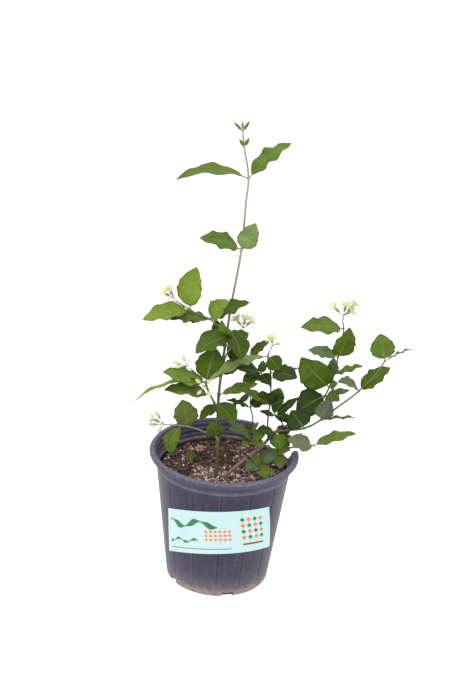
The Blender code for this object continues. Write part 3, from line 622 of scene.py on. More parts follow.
def soil_height(x, y):
    lumps = noise.fractal(Vector((x * 0.05, y * 0.05, 0)), 1.0, 2.0, 3)
    crumbs = noise.fractal(Vector((x * 0.35, y * 0.35, 7)), 1.0, 2.0, 3)
    return SOIL_TOP + SOIL_LUMPS * lumps + SOIL_CRUMBS * crumbs


def tinted(colour, value):
    """The colour times the value."""
    return Signal(add_node(colour.tree, "VectorMath", {0: colour, "Scale": value}, operation="SCALE"))


def soil_material():
    material, coords = new_material("potting_mix")
    red = spread(speckle(coords, 45, 4), 0.42, 0.6)
    pale = spread(speckle(coords, 520, 3, 0.7), 0.55, 0.7)
    colour = mixed(pale, mixed(red, LOAM, LOAM_RED), LOAM_PALE)
    colour = tinted(colour, mottled(coords, 300, 0.45, 1.5))
    return finished(material, colour, 0.95, speckle(coords, 700, 4) + speckle(coords, 180, 3), 0.9, 1.2)


def make_soil():
    edge = wall_radius(SOIL_TOP - SOIL_SHOULDER) - SOIL_OFF_WALL
    outline = [(0, SOIL_BOTTOM), (wall_radius(6) - SOIL_OFF_WALL - 3, SOIL_BOTTOM),
               (wall_radius(10) - SOIL_OFF_WALL, 10), (edge, SOIL_TOP - SOIL_SHOULDER)]
    outline += [((edge - 1) * (1 - ring / SOIL_RINGS), SOIL_TOP) for ring in range(SOIL_RINGS + 1)]
    bm = spun(outline, SOIL_STEPS)
    for vert in bm.verts:
        if vert.co.z > (SOIL_TOP - 1) * MM:
            vert.co.z = soil_height(vert.co.x / MM, vert.co.y / MM) * MM
    soil = new_object("potting_mix", bm, soil_material())
    soil.data.shade_smooth()
    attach(soil, "root")
    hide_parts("soil")


def crumb_material(name, tones):
    """A rough mineral or bark finish: each crumb has a grey value in its attribute, which picks its tone."""
    material, coords = new_material(name)
    ramp = add_node(coords.tree, "ValToRGB", {"Fac": painted(coords, "pick", "Fac")})
    stops = ramp.color_ramp.elements
    while len(stops) < len(tones):
        stops.new(0.5)
    for index, (stop, tone) in enumerate(zip(stops, tones)):
        stop.position = index / (len(tones) - 1)
        stop.color = (*tone, 1)
    colour = tinted(Signal(ramp), mottled(coords, 500, 0.6, 1.35))
    return finished(material, colour, 0.9, speckle(coords, 900), 0.5, 0.4)


def grit_share(x, y):
    """How likely a spot is to show grit: thick in front of the stems, thin behind and at the left."""
    patch = 0.5 + 0.5 * noise.noise(Vector((x * 0.06, y * 0.06, 11)))
    front = min(1.0, max(0.0, (14 - y) / 22)) * min(1.0, max(0.0, (x + 52) / 22))
    right = 0.4 * min(1.0, max(0.0, (x - 2) / 24))
    return max(front, right, 0.1) * (0.35 + 0.9 * patch)


def scatter(name, count, sizes, share_at, material, seed):
    """Crumbs strewn on the bed: one faceted grain for each, turned and squashed at random."""
    draw = random.Random(seed)
    bm = bmesh.new()
    pick = bm.verts.layers.float.new("pick")
    edge = wall_radius(SOIL_TOP) - SOIL_OFF_WALL - 3
    placed = 0
    while placed < count:
        radius, angle = edge * math.sqrt(draw.random()), 2 * math.pi * draw.random()
        x, y = radius * math.cos(angle), radius * math.sin(angle)
        if draw.random() > share_at(x, y):
            continue
        size = draw.uniform(*sizes) * (BIG_SIZE if draw.random() < BIG_SHARE else 1)
        turn = Matrix.Rotation(draw.uniform(0, AROUND), 4, "Z")
        turn = turn @ Matrix.Rotation(draw.uniform(-0.6, 0.6), 4, "X")
        stretch = Matrix.Diagonal((draw.uniform(0.8, 1.4), draw.uniform(0.6, 1.0), draw.uniform(0.5, 0.9), 1))
        place = Vector((x, y, soil_height(x, y) + GRAIN_RISE * size)) * MM
        matrix = Matrix.Translation(place) @ turn @ stretch
        grain = bmesh.ops.create_icosphere(bm, subdivisions=1, radius=size / 2 * MM, matrix=matrix)["verts"]
        value = draw.random()
        for vert in grain:
            vert.co += Vector([draw.uniform(-0.1, 0.1) * size * MM for _ in range(3)])
            vert[pick] = value
        placed += 1
    piece = new_object(name, bm, material)
    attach(piece, "root")


make_soil()
PUMICE, BARK = crumb_material("pumice", GRIT_TONES), crumb_material("bark_crumb", BARK_TONES)
scatter("pumice_grit", GRIT_COUNT, GRIT_SIZES, grit_share, PUMICE, GRIT_SEED)
scatter("bark_crumbs", BARK_COUNT, BARK_SIZES, lambda x, y: BARK_SHARE, BARK, BARK_SEED)


# Stems
#
# The tall young leader with its side shoots, the old stem that forks to the right, and two low shoots: round
# green canes that turn tan and corky with age, a little swollen at each joint. Each is one grown piece.

LEADER_LOW, LEADER_MID, LEADER_TOP = (0.105, 0.118, 0.028), (0.130, 0.152, 0.055), (0.300, 0.340, 0.200)
SHOOT_GREEN, SHOOT_DARK, TAN_WOOD = (0.150, 0.160, 0.060), (0.033, 0.030, 0.015), (0.244, 0.171, 0.113)
# Each run has its first and last radius, its tones from first to last point, and its points in millimetres.
STEMS = {
    "main_stem": {
        "leader": (2.4, 1.0, [LEADER_LOW] * 5 + [LEADER_MID] * 2 + [(0.20, 0.23, 0.12)] + [LEADER_TOP] * 6,
                   [(-7, -23, 137), (-8, -22, 161), (-10, -18, 217), (-12, -13, 259), (-12, -12, 275),
                    (-11, -9, 301), (-8, -6, 343), (-4, -2, 392), (5, 4, 473), (7, 6, 539), (8, 7, 568),
                    (0, 7, 609), (-3, 6, 629), (-4, 6, 641)]),
        "left_shoot": (1.5, 0.9, [SHOOT_GREEN, SHOOT_GREEN],
                       [(-11, -9, 290), (-8, -16, 325), (1, -15, 362), (-7, -16, 372), (-21, -18, 377),
                        (-29, -19, 384), (-43, -21, 390), (-55, -23, 397), (-69, -25, 406), (-75, -26, 410)]),
        "front_shoot": (1.6, 1.3, [(0.12, 0.17, 0.05), (0.12, 0.17, 0.05)],
                        [(-12, -14, 252), (-17, -20, 266), (-23, -26, 280), (-30, -30, 299)]),
        "low_left_shoot": (1.2, 0.9, [(0.20, 0.26, 0.10), (0.20, 0.26, 0.10)],
                           [(-10, -18, 215), (-25, -18, 221), (-49, -16, 227), (-60, -14, 227),
                            (-77, -12, 226)]),
        "dark_twig": (0.9, 0.8, [(0.040, 0.035, 0.025), (0.040, 0.035, 0.025)],
                      [(-10, -18, 219), (-1, -22, 218), (22, -29, 212), (46, -33, 206)]),
    },
    "woody_stem": {
        "trunk": (2.6, 1.9, [TAN_WOOD, TAN_WOOD, (0.12, 0.07, 0.04)],
                  [(-15, -28, 145), (1, -27, 161), (34, -22, 194), (49, -16, 205), (59, -10, 216),
                   (66, -8, 223), (70, -6, 227)]),
        "right_shoot": (1.6, 1.0, [(0.13, 0.12, 0.05), (0.13, 0.12, 0.05)],
                        [(68, -7, 225), (87, -8, 228), (104, -10, 233), (124, -13, 248), (139, -15, 264),
                         (170, -20, 297), (192, -22, 328), (199, -23, 343)]),
        "broken_stub": (1.1, 1.0, [TAN_WOOD, TAN_WOOD],
                        [(0, -27, 160), (-2, -29, 167), (-2, -30, 173)]),
        "upper_right_shoot": (1.5, 0.9, [(0.10, 0.08, 0.04), SHOOT_GREEN],
                              [(69, -6, 226), (86, 2, 232), (101, 6, 238), (116, 9, 254), (128, 11, 272),
                               (133, 12, 285), (138, 14, 303), (141, 15, 327), (145, 16, 368),
                               (143, 16, 378)]),
        "middle_shoot": (1.2, 0.9, [SHOOT_DARK, SHOOT_DARK],
                         [(57, -11, 214), (55, -4, 228), (56, 4, 257), (56, 6, 279), (54, 8, 302),
                          (49, 9, 325), (51, 9, 333)]),
        "middle_twig": (0.8, 0.8, [SHOOT_DARK, SHOOT_DARK], [(56, 6, 281), (49, 8, 292), (42, 9, 300)]),
        "short_shoot": (1.0, 0.9, [SHOOT_DARK, SHOOT_DARK],
                        [(70, -5, 227), (75, -4, 231), (64, -5, 246), (61, -5, 255)]),
        "inner_shoot": (1.1, 0.8, [SHOOT_DARK, SHOOT_DARK],
                        [(33, -22, 193), (35, -14, 199), (35, -8, 209), (33, -2, 219), (35, 2, 235),
                         (31, 5, 251), (29, 11, 269), (26, 15, 292), (24, 18, 317)]),
    },
    "low_shoot": {
        "low_shoot": (1.3, 1.2, [LEADER_LOW, SHOOT_GREEN], [(52, -9, 140), (52, -11, 163), (49, -14, 178)]),
    },
    "outer_shoot": {
        "outer_shoot": (1.3, 1.0, [(0.10, 0.10, 0.045), (0.10, 0.10, 0.045)],
                        [(57, -7, 140), (60, -6, 167), (70, 4, 188), (86, 8, 193), (101, 8, 196),
                         (118, 6, 200)]),
    },
}
STEM_NODES = {"main_stem": "canes_left", "woody_stem": "canes_right", "low_shoot": "cane_low",
              "outer_shoot": "cane_outer"}
STEM_VOXEL = 0.4  # in millimetres
STEM_SOFTENING, STEM_PASSES = 0.5, 2  # how much each pass smooths the remeshed canes, and how many there are
JOINT_SWELL, JOINT_LENGTH = 1.28, 2.2  # of the stem's radius
TONE_STEPS = 6  # spots that carry a tone, from each point of a run to the next


def run_of(name):
    for runs in STEMS.values():
        if name in runs:
            return runs[name]
    raise KeyError(name)


def station(run, index):
    """Place, direction and radius of a run at one of its points, in millimetres."""
    first, last, _, points = run_of(run)
    here = Vector(points[index])
    before, after = Vector(points[max(index - 1, 0)]), Vector(points[min(index + 1, len(points) - 1)])
    return here, (after - before).normalized(), first + (last - first) * index / (len(points) - 1)


def add_tube(bm, points, radii):
    """A round tube on a smooth curve through the points, in millimetres, with a radius at each."""
    curve = bpy.data.curves.new("tube", "CURVE")
    curve.dimensions = "3D"
    curve.bevel_depth, curve.bevel_resolution, curve.resolution_u = 1, 3, 10
    curve.use_fill_caps = True
    spline = curve.splines.new("BEZIER")
    spline.bezier_points.add(len(points) - 1)
    for knot, point, radius in zip(spline.bezier_points, points, radii):
        knot.co = Vector(point) * MM
        knot.handle_left_type = knot.handle_right_type = "AUTO"
        knot.radius = radius * MM
    guide = bpy.data.objects.new("tube", curve)
    bpy.context.scene.collection.objects.link(guide)
    evaluated = guide.evaluated_get(bpy.context.evaluated_depsgraph_get())
    bm.from_mesh(evaluated.to_mesh())
    bpy.data.objects.remove(guide)


def tone_along(tones, share):
    """The tone at a share of the way along an evenly spaced list."""
    place = share * (len(tones) - 1)
    low = min(int(place), len(tones) - 2)
    return Vector(tones[low]).lerp(Vector(tones[low + 1]), place - low)


def stem_material():
    material, coords = new_material("cane_bark")
    colour = tinted(painted(coords, "tone"), mottled(coords, 260, 0.72, 1.25))
    flecks = spread(speckle(coords, 900, 2), 0.63, 0.72)
    colour = mixed(flecks * 0.4, colour, TAN_WOOD)
    rough = spread(speckle(coords, 300), 0.3, 0.7, 0.42, 0.68)
    return finished(material, colour, rough, speckle(coords, 800, 3), 0.5, 0.3)


STEM_MATERIAL = stem_material()


def make_stem(node, runs, joints):
    bm = bmesh.new()
    spots = []
    for run, (first, last, tones, points) in runs.items():
        count = len(points) - 1
        radii = [first + (last - first) * index / count for index in range(count + 1)]
        add_tube(bm, points, radii)
        for index in range(count):
            for step in range(TONE_STEPS):
                part = step / TONE_STEPS
                spot = Vector(points[index]).lerp(Vector(points[index + 1]), part)
                spots.append((spot, tone_along(tones, (index + part) / count)))
        spots.append((Vector(points[-1]), Vector(tones[-1])))
        for index in joints.get(run, []):
            here, ahead, radius = station(run, index)
            swell = radius * JOINT_SWELL * MM
            matrix = Matrix.Translation(here * MM) @ ahead.to_track_quat("Z", "Y").to_matrix().to_4x4()
            matrix = matrix @ Matrix.Diagonal((swell, swell, swell * JOINT_LENGTH, 1))
            bmesh.ops.create_icosphere(bm, subdivisions=3, radius=1, matrix=matrix)
    bmesh.ops.remove_doubles(bm, verts=bm.verts, dist=0.01 * MM)
    stem = new_object(STEM_NODES[node], bm, STEM_MATERIAL)
    remesh = stem.modifiers.new("grown_together", "REMESH")
    remesh.mode = "VOXEL"
    remesh.voxel_size = STEM_VOXEL * MM
    smooth = stem.modifiers.new("smooth", "SMOOTH")
    smooth.factor, smooth.iterations = STEM_SOFTENING, STEM_PASSES
    apply_modifiers(stem)
    stem.data.shade_smooth()
    tree = KDTree(len(spots))
    for index, (spot, _) in enumerate(spots):
        tree.insert(spot, index)
    tree.balance()
    paint(stem.data, "tone", lambda place: spots[tree.find(place)[1]][1])
    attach(stem, "root")
    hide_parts(node)


# Leaves
#
# Pairs of leaves at each joint: broad oval blades with a short point, wavy edges and five or six pairs of
# veins that curve forwards, glossy above and paler and dull below. A short stalk joins each to its cane.

# Each tone is a leaf's own green, and some carry painted light as well: the bright one is partly a painted
# lit side, the dark and deep ones partly painted shade for leaves inside the bush, and the grey one is the
# paler underside together with a painted reflection of the white room.
LEAF_TONES = {
    "bud": (0.20, 0.27, 0.06), "bright_lit": (0.19, 0.28, 0.032), "fresh": (0.15, 0.235, 0.03),
    "pale": (0.24, 0.33, 0.10), "mature": (0.11, 0.18, 0.024), "grass": (0.085, 0.15, 0.008),
    "deep_shaded": (0.06, 0.108, 0.008), "dark_shaded": (0.038, 0.07, 0.010), "grey": (0.12, 0.145, 0.09),
    "olive": (0.15, 0.19, 0.09), "blue": (0.12, 0.20, 0.08), "yellow": (0.26, 0.34, 0.055),
    "moss": (0.142, 0.191, 0.037), "leaf_stalk": (0.20, 0.25, 0.075),
}
# For each group its run, its point on it, and its leaves. A leaf has its reach from the cane to its tip, its
# width, its tone, the way its upper side looks, its arch, its fold in degrees and, if it curves, its bow.
LEAF_GROUPS = {
    "leaves_leader_top": ("leader", 12, [
        ((-12, -4, 12), 4, "bud", (0, -1, 1), 0.05, 10),
        ((8, 4, 12), 4, "bud", (0, -1, 1), 0.05, 10)]),
    "leaves_leader_bud": ("leader", 11, [
        ((-7, -4, 10), 5, "bud", (0, -1, 1), 0.1, 10),
        ((6, 4, 10), 5, "bud", (0, -1, 1), 0.1, 10)]),
    "leaves_leader_high": ("leader", 10, [
        ((-90, -21, -2), 33, "mature", (0, -0.1, 1), 0.13, 12),
        ((51, 21, 43), 32, "mature", (-0.5, -0.4, 1), 0.08, 15)]),
    "leaves_leader_mid": ("leader", 8, [
        ((-54, -8, 15), 36, "mature", (0, -0.3, 1), 0.08, 12),
        ((16, -10, 41), 27, "pale", (0, -1, 0.3), 0.05, 12)]),
    "leaves_leader_shaded": ("leader", 6, [
        ((25, -6, -12), 26, "dark_shaded", (0.1, -0.4, 1), 0.06, 10),
        ((-15, -4, 37), 21, "deep_shaded", (0, -1, 0.2), 0.02, 6),
        ((30, 8, 16), 26, "mature", (0, -0.8, 1), 0.06, 12),
        ((22, 6, -24), 22, "deep_shaded", (0.2, -0.9, 0.8), 0.08, 12)]),
    "leaf_leader_grey": ("leader", 5, [
        ((27, 19, 20), 20, "grey", (0, -0.6, 1), 0.03, 10)]),
    "leaf_leader_narrow": ("leader", 4, [
        ((51, 9, 15), 15, "fresh", (0, -0.6, 1), 0.06, 8)]),
    "leaf_leader_base": ("leader", 2, [
        ((-10, -22, 32), 27, "mature", (0, -1, 0.5), 0.06, 8)]),
    "leaves_left_first": ("left_shoot", 2, [
        ((-46, -23, -19), 37, "mature", (-0.2, -0.5, 1), 0.1, 20),
        ((-15, -15, 27), 19, "fresh", (-0.5, -0.9, 0), 0.2, 10),
        ((12, -40, -16), 32, "deep_shaded", (0.4, -0.8, 0.7), 0.12, 14)]),
    "leaves_left_second": ("left_shoot", 5, [
        ((-53, -11, 1), 28, "mature", (0, -0.2, 1), 0.08, 12),
        ((-37, 13, -13), 18, "dark_shaded", (0, -0.1, 1), 0.05, 10),
        ((22, -11, 33), 26, "bright_lit", (-0.7, -0.9, 0.4), 0.16, 10),
        ((49, -3, 28), 30, "deep_shaded", (0, -0.3, 1), 0.04, 18)]),
    "leaves_left_third": ("left_shoot", 7, [
        ((5, 11, 55), 32, "bright_lit", (0, -1, 0.15), 0.03, 8, -0.1),
        ((-60, -11, -14), 30, "bright_lit", (0, -0.45, 1), 0.1, 12)]),
    "leaves_front": ("front_shoot", 3, [
        ((9, 12, 46), 38, "grass", (0, -1, 0.2), 0.04, 3),
        ((-56, -12, 17), 30, "fresh", (0, -0.4, 1), 0.02, 12),
        ((-39, 8, 9), 20, "deep_shaded", (0, 0, 1), 0.05, 10),
        ((-91, -32, -19), 24, "bright_lit", (0, 0.35, 1), 0.12, 10)]),
    "leaves_front_first": ("front_shoot", 1, [
        ((27, -37, -13), 34, "deep_shaded", (0.2, -0.4, 1), 0.14, 14),
        ((-5, -11, -14), 13, "deep_shaded", (-0.3, -1, 0.4), 0.08, 12),
        ((-18, -8, -22), 13, "deep_shaded", (-0.3, -0.8, 0.6), 0.06, 10)]),
    "leaf_front_low": ("front_shoot", 2, [
        ((-60, -18, 11), 30, "fresh", (0, -0.3, 1), 0.1, 12)]),
    "leaf_low_left_up": ("low_left_shoot", 2, [
        ((-10, -6, 42), 33, "moss", (0, -1, 0.3), 0.04, 8)]),
    "leaf_low_left_down": ("low_left_shoot", 3, [
        ((-11, -7, -40), 22, "fresh", (0.2, -1, 0.3), 0.05, 12, 0.15)]),
    "leaves_inner_rosette": ("inner_shoot", 2, [
        ((-13, -16, 17), 16, "moss", (0, -0.6, 1), 0.08, 12),
        ((18, -8, 13), 15, "bright_lit", (0, -0.6, 1), 0.08, 12),
        ((-12, -26, 3), 15, "moss", (0, -0.5, 1), 0.1, 12),
        ((16, -24, 2), 16, "moss", (0, -0.5, 1), 0.1, 12)]),
    "leaves_inner_small": ("inner_shoot", 3, [
        ((-29, -16, 8), 20, "blue", (0, -0.5, 1), 0.06, 12),
        ((-9, 2, 11), 7, "deep_shaded", (0, -1, 0.6), 0.05, 10),
        ((10, 8, 11), 6, "fresh", (0, -1, 0.6), 0.05, 10),
        ((14, 8, -7), 10, "fresh", (0, -1, 0.8), 0.05, 10)]),
    "leaves_inner_dark": ("inner_shoot", 5, [
        ((-33, -16, 16), 12, "dark_shaded", (0, -0.4, 1), 0.06, 10),
        ((16, 10, 12), 17, "dark_shaded", (-0.3, -1, 0.6), 0.05, 12)]),
    "leaf_inner_strip": ("inner_shoot", 6, [
        ((-15, 0, -16), 9, "dark_shaded", (1, 0.5, 0.6), 0.05, 15)]),
    "leaf_inner_top": ("inner_shoot", 8, [
        ((26, 6, 24), 17, "deep_shaded", (-0.2, -0.4, 1), 0.05, 12)]),
    "leaves_middle_top": ("middle_shoot", 5, [
        ((-75, -58, -14), 19, "pale", (0, -0.2, 1), 0.1, 12),
        ((17, -10, -15), 24, "deep_shaded", (0.3, -1, 0.5), 0.05, 12)]),
    "leaf_middle_pointed": ("middle_shoot", 4, [
        ((35, -14, 1), 34, "dark_shaded", (0.1, -0.4, 1), 0.08, 12)]),
    "leaves_middle_twig": ("middle_twig", 2, [
        ((-33, -19, 13), 25, "dark_shaded", (0, -0.5, 1), 0.06, 12),
        ((-24, -15, -8), 20, "deep_shaded", (0, -0.7, 1), 0.1, 12),
        ((1, -9, 23), 12, "mature", (0, -1, 0.3), 0.05, 10),
        ((12, -22, -6), 18, "dark_shaded", (0.1, -1, 0.6), 0.06, 12)]),
    "leaves_middle_cluster": ("middle_shoot", 2, [
        ((-12, -12, 26), 26, "dark_shaded", (-0.3, -1, 0.3), 0.05, 14),
        ((12, -2, 27), 26, "deep_shaded", (0.3, -1, 0.3), 0.05, 14),
        ((17, -12, 12), 26, "dark_shaded", (0.2, -1, 0.8), 0.05, 12),
        ((-50, -34, 42), 14, "mature", (0, -0.7, 1), 0.04, 10)]),
    "leaves_short_shoot": ("short_shoot", 2, [
        ((20, -9, 3), 12, "dark_shaded", (0, -0.5, 1), 0.06, 10),
        ((-21, -6, 8), 10, "dark_shaded", (0, -0.5, 1), 0.06, 10),
        ((29, 10, 24), 12, "dark_shaded", (0, -0.8, 1), 0.04, 10),
        ((26, -4, -9), 11, "dark_shaded", (0, -0.5, 1), 0.06, 10)]),
    "leaves_trunk": ("trunk", 5, [
        ((-25, -18, 8), 22, "dark_shaded", (0, -0.4, 1), 0.06, 10),
        ((20, 10, 1), 20, "dark_shaded", (0, -0.4, 1), 0.06, 10),
        ((8, -18, -16), 24, "mature", (0, -1, 0.7), 0.08, 10)]),
    "leaf_right_first": ("right_shoot", 2, [
        ((-20, -10, 30), 34, "dark_shaded", (-0.3, -1, 0.5), 0.05, 14)]),
    "leaves_right_second": ("right_shoot", 3, [
        ((47, -6, 9), 14, "olive", (0, 0.2, 1), 0.05, 8),
        ((9, -7, 35), 26, "grey", (0, -1, 0.4), 0.05, 12)]),
    "leaves_right_third": ("right_shoot", 5, [
        ((-30, -14, 17), 24, "olive", (0, -0.3, 1), 0.15, 12),
        ((39, 14, 30), 26, "grass", (-0.2, -0.5, 1), 0.06, 12)]),
    "leaves_right_end": ("right_shoot", 7, [
        ((-9, 7, 35), 32, "mature", (0, -1, 0.2), 0.05, 8),
        ((36, 3, 19), 16, "grey", (0, 0.3, 1), 0.05, 10)]),
    "leaves_upper_right_low": ("upper_right_shoot", 4, [
        ((-37, -19, -17), 40, "dark_shaded", (-0.2, -1, 0.7), 0.08, 14),
        ((19, -17, 2), 20, "mature", (0, -0.6, 1), 0.08, 12),
        ((-31, 3, -6), 14, "dark_shaded", (0, -0.2, 1), 0.06, 10),
        ((33, 5, 8), 12, "olive", (0, -0.5, 1), 0.06, 10)]),
    "leaves_upper_right_big": ("upper_right_shoot", 5, [
        ((-42, -26, 52), 44, "grass", (-0.3, -1, 0.4), 0.06, 12),
        ((10, -8, 10), 14, "fresh", (0, -0.8, 1), 0.06, 10)]),
    "leaves_upper_right_mid": ("upper_right_shoot", 6, [
        ((-3, -12, 30), 16, "olive", (-0.3, -1, 0.2), 0.04, 14),
        ((37, -6, 17), 14, "mature", (0, -0.3, 1), 0.06, 10),
        ((-68, 20, -8), 14, "grey", (0, 0.2, 1), 0.06, 10)]),
    "leaves_upper_right_high": ("upper_right_shoot", 7, [
        ((-40, 9, 4), 24, "blue", (0, -0.3, 1), 0.06, 12),
        ((10, -21, 53), 30, "grass", (0.2, -1, 0.3), 0.06, 14)]),
    "leaf_upper_right_top": ("upper_right_shoot", 8, [
        ((-57, -22, 7), 30, "mature", (0, -0.5, 1), 0.08, 12)]),
    "leaves_outer_first": ("outer_shoot", 2, [
        ((8, -20, -14), 18, "yellow", (0, -1, 1), 0.08, 10),
        ((17, 6, 24), 18, "mature", (0, -1, 0.5), 0.05, 10),
        ((18, -14, 11), 18, "bright_lit", (0, -0.5, 1), 0.06, 10)]),
    "leaves_outer_end": ("outer_shoot", 5, [
        ((-37, -43, 28), 24, "olive", (0, -1, 0.8), 0.01, 12),
        ((-29, -22, 9), 18, "fresh", (0, -0.8, 1), 0.08, 10),
        ((57, 8, 18), 22, "fresh", (0, -0.2, 1), 0.06, 12)]),
    "leaves_low_shoot": ("low_shoot", 2, [
        ((-20, -20, -2), 20, "blue", (0, -0.5, 1), 0.1, 12),
        ((21, 4, 22), 20, "blue", (-0.3, -0.8, 0.8), 0.06, 12),
        ((-13, -2, 15), 12, "yellow", (0, -0.8, 0.6), 0.06, 12),
        ((8, -26, -9), 22, "fresh", (0, -0.5, 1), 0.1, 12)]),
}
PETIOLE_SHARE = 0.07  # of a leaf's length
BLADE_COLUMNS, BLADE_ROWS = 12, 26
BLADE_THICKNESS, QUILT_HEIGHT = 0.45, 0.55  # in millimetres
FULL_LENGTH = 60  # in millimetres: a shorter leaf ripples less
SCALLOP_DEPTH = 0.045  # of a blade's half width
TIP_START = 0.6  # where a leaf's tip starts to droop and swerve, as a share of its length
FOOT_LIGHT = 0.12  # how much lighter a blade is painted at its foot
VEIN_PAIRS, VEIN_SWEEP, VEIN_CURVE, VEIN_WIDTH = 5.5, 0.24, 1.3, 0.08
LEAF_SHEEN = 0.12
UPPER_WASH, UNDER_WASH = (0.1, 0.16, 0.03), (0.22, 0.27, 0.16)  # laid over the tone of each side
VEIN_SHARE, MIDRIB_SHARE = 0.65, 0.65  # how far the veins and the midrib take on their pale colours
OVAL_START, OVAL_END = 0.62, 0.85
OVAL_PEAK = OVAL_START / (OVAL_START + OVAL_END)
# The stalk and midrib, from the cane: its places as shares of the leaf, its widths, and how deep it is sunk.
STALK_PLACES = [0, 0.04, 0.08, PETIOLE_SHARE, 0.16, 0.24, 0.36, 0.5, 0.65, 0.8, 0.9]
STALK_WIDTHS = [0, 1.15, 0.9, 0.85, 0.9, 0.85, 0.75, 0.62, 0.5, 0.38, 0.24, 0]
STALK_SINKS = [0, 0, 0, 0, 0, 0.2, 0.3, 0.3, 0.28, 0.26, 0.24, 0.2]
STALK_ROOT = 1.2  # how far it runs back into the cane, in millimetres
LEAF_SEED = 21


def oval(along):
    """A blade's width at a share of its length, from 0 at both ends to 1 at its widest."""
    if not 0 < along < 1:
        return 0
    widest = OVAL_PEAK ** OVAL_START * (1 - OVAL_PEAK) ** OVAL_END
    return along ** OVAL_START * (1 - along) ** OVAL_END / widest


class Leaf:
    """One leaf's frame and bends: where its middle line runs, and how its blade lies on either side of it."""

    def __init__(self, foot, reach, width, faces, arch, fold, bow, draw):
        self.foot, self.reach, self.width = foot, reach, width
        self.arch, self.fold, self.bow = arch, math.radians(fold), bow
        self.along = reach.normalized()
        self.above = (faces - self.along * faces.dot(self.along)).normalized()
        self.side = self.along.cross(self.above)
        size = min(1.0, reach.length / FULL_LENGTH)
        self.ripple = draw.uniform(1.7, 3.2) * size
        self.ripples = draw.uniform(2.2, 3.4)
        self.phases = draw.uniform(0, AROUND), draw.uniform(0, AROUND)
        self.scallops = draw.uniform(3.5, 5.5)
        self.curl = draw.uniform(0.02, 0.12)
        self.tip_drop = draw.uniform(0.0, 0.05) * reach.length
        self.tip_swerve = draw.uniform(-0.03, 0.03) * reach.length
        self.shade = draw.uniform(0.71, 0.92)

    def middle(self, share):
        bend = self.reach.length * 4 * share * (1 - share)
        tip = max(0.0, share - TIP_START) / (1 - TIP_START)
        lift = self.arch * bend + self.tip_drop * tip * (1 - tip)
        place = self.foot + self.reach * share + self.above * lift
        return place + self.side * (self.bow * bend + self.tip_swerve * tip * (1 - tip))

    def surface(self, across, up, under):
        """A point of the blade: across from -1 to 1, up from 0 at its foot to 1 at its tip."""
        edge, phase = abs(across), self.phases[across > 0]
        wave = math.sin(math.pi * up)
        scallop = SCALLOP_DEPTH * math.sin(2 * math.pi * self.scallops * up + phase)
        half = self.width / 2 * oval(up) * (1 + scallop)
        lift = edge * half * math.sin(self.fold) - self.curl * half * edge ** 3
        vein = up - VEIN_SWEEP * edge ** VEIN_CURVE
        lift -= QUILT_HEIGHT * 4 * edge * (1 - edge) * wave * math.cos(2 * math.pi * VEIN_PAIRS * vein)
        lift += self.ripple * edge ** 2 * wave * math.sin(2 * math.pi * self.ripples * up + phase)
        if under:
            lift -= BLADE_THICKNESS * (1 - edge ** 6) * (1 - (2 * up - 1) ** 8)
        share = PETIOLE_SHARE + (1 - PETIOLE_SHARE) * up
        return self.middle(share) + self.above * lift + self.side * across * half * math.cos(self.fold)


def add_blade(bm, leaf, tone):
    """Two sheets that meet round the leaf's edge: the upper in the first material, the lower in the other."""
    upper = bmesh.ops.create_grid(bm, x_segments=BLADE_COLUMNS, y_segments=BLADE_ROWS, size=0.5,
                                  calc_uvs=True)["verts"]
    faces = list({face for vert in upper for face in vert.link_faces})
    edges = list({edge for vert in upper for edge in vert.link_edges})
    copied = bmesh.ops.duplicate(bm, geom=upper + edges + faces)["geom"]
    lower = [item for item in copied if isinstance(item, bmesh.types.BMVert)]
    lower_faces = [item for item in copied if isinstance(item, bmesh.types.BMFace)]
    bmesh.ops.reverse_faces(bm, faces=lower_faces)
    for face in lower_faces:
        face.material_index = 1
    layer = bm.verts.layers.float_color["tone"]
    for sheet, under in ((upper, False), (lower, True)):
        for vert in sheet:
            across, up = 2 * vert.co.x, vert.co.y + 0.5
            vert.co = leaf.surface(across, up, under) * MM
            light = leaf.shade * (1 + FOOT_LIGHT * (1 - up) * (1 - abs(across)))
            vert[layer] = (*[part * light for part in tone], 1)
    bmesh.ops.remove_doubles(bm, verts=upper + lower, dist=0.004 * MM)


def add_rod(bm, points, radii, tone, sides=6, flat=1.0, facing=Vector((0, 0, 1)), material=0):
    """A rod through the points, in millimetres. Flat is its thickness as a share of its width."""
    rows = len(points) - 1
    verts = bmesh.ops.create_grid(bm, x_segments=sides, y_segments=rows, size=0.5, calc_uvs=True)["verts"]
    layer = bm.verts.layers.float_color["tone"]
    along = (points[-1] - points[0]).normalized()
    across = along.cross(facing)
    if across.length < 0.1:
        across = along.cross(Vector((1, 0, 0)))
    across.normalize()
    above = across.cross(along)
    for face in {face for vert in verts for face in vert.link_faces}:
        face.material_index = material
    for vert in verts:
        row, turn = round((vert.co.y + 0.5) * rows), -2 * math.pi * (vert.co.x + 0.5)
        out = across * math.cos(turn) + above * (math.sin(turn) * flat)
        vert.co = (points[row] + out * radii[row]) * MM
        vert[layer] = (*tone, 1)
    bmesh.ops.remove_doubles(bm, verts=verts, dist=0.004 * MM)


def add_leaf(bm, leaf, tone):
    """A leaf's blade, and the stalk that runs on under it as its midrib."""
    add_blade(bm, leaf, tone)
    length = leaf.reach.length
    stout = min(0.85, 0.35 + length / 110)
    places = [-STALK_ROOT / length] + STALK_PLACES
    points = [leaf.middle(place) - leaf.above * sink for place, sink in zip(places, STALK_SINKS)]
    add_rod(bm, points, [stout * width for width in STALK_WIDTHS], LEAF_TONES["leaf_stalk"],
            facing=leaf.above, material=2)


def new_leaf_mesh():
    bm = bmesh.new()
    bm.loops.layers.uv.new("blade")
    bm.verts.layers.float_color.new("tone")
    return bm


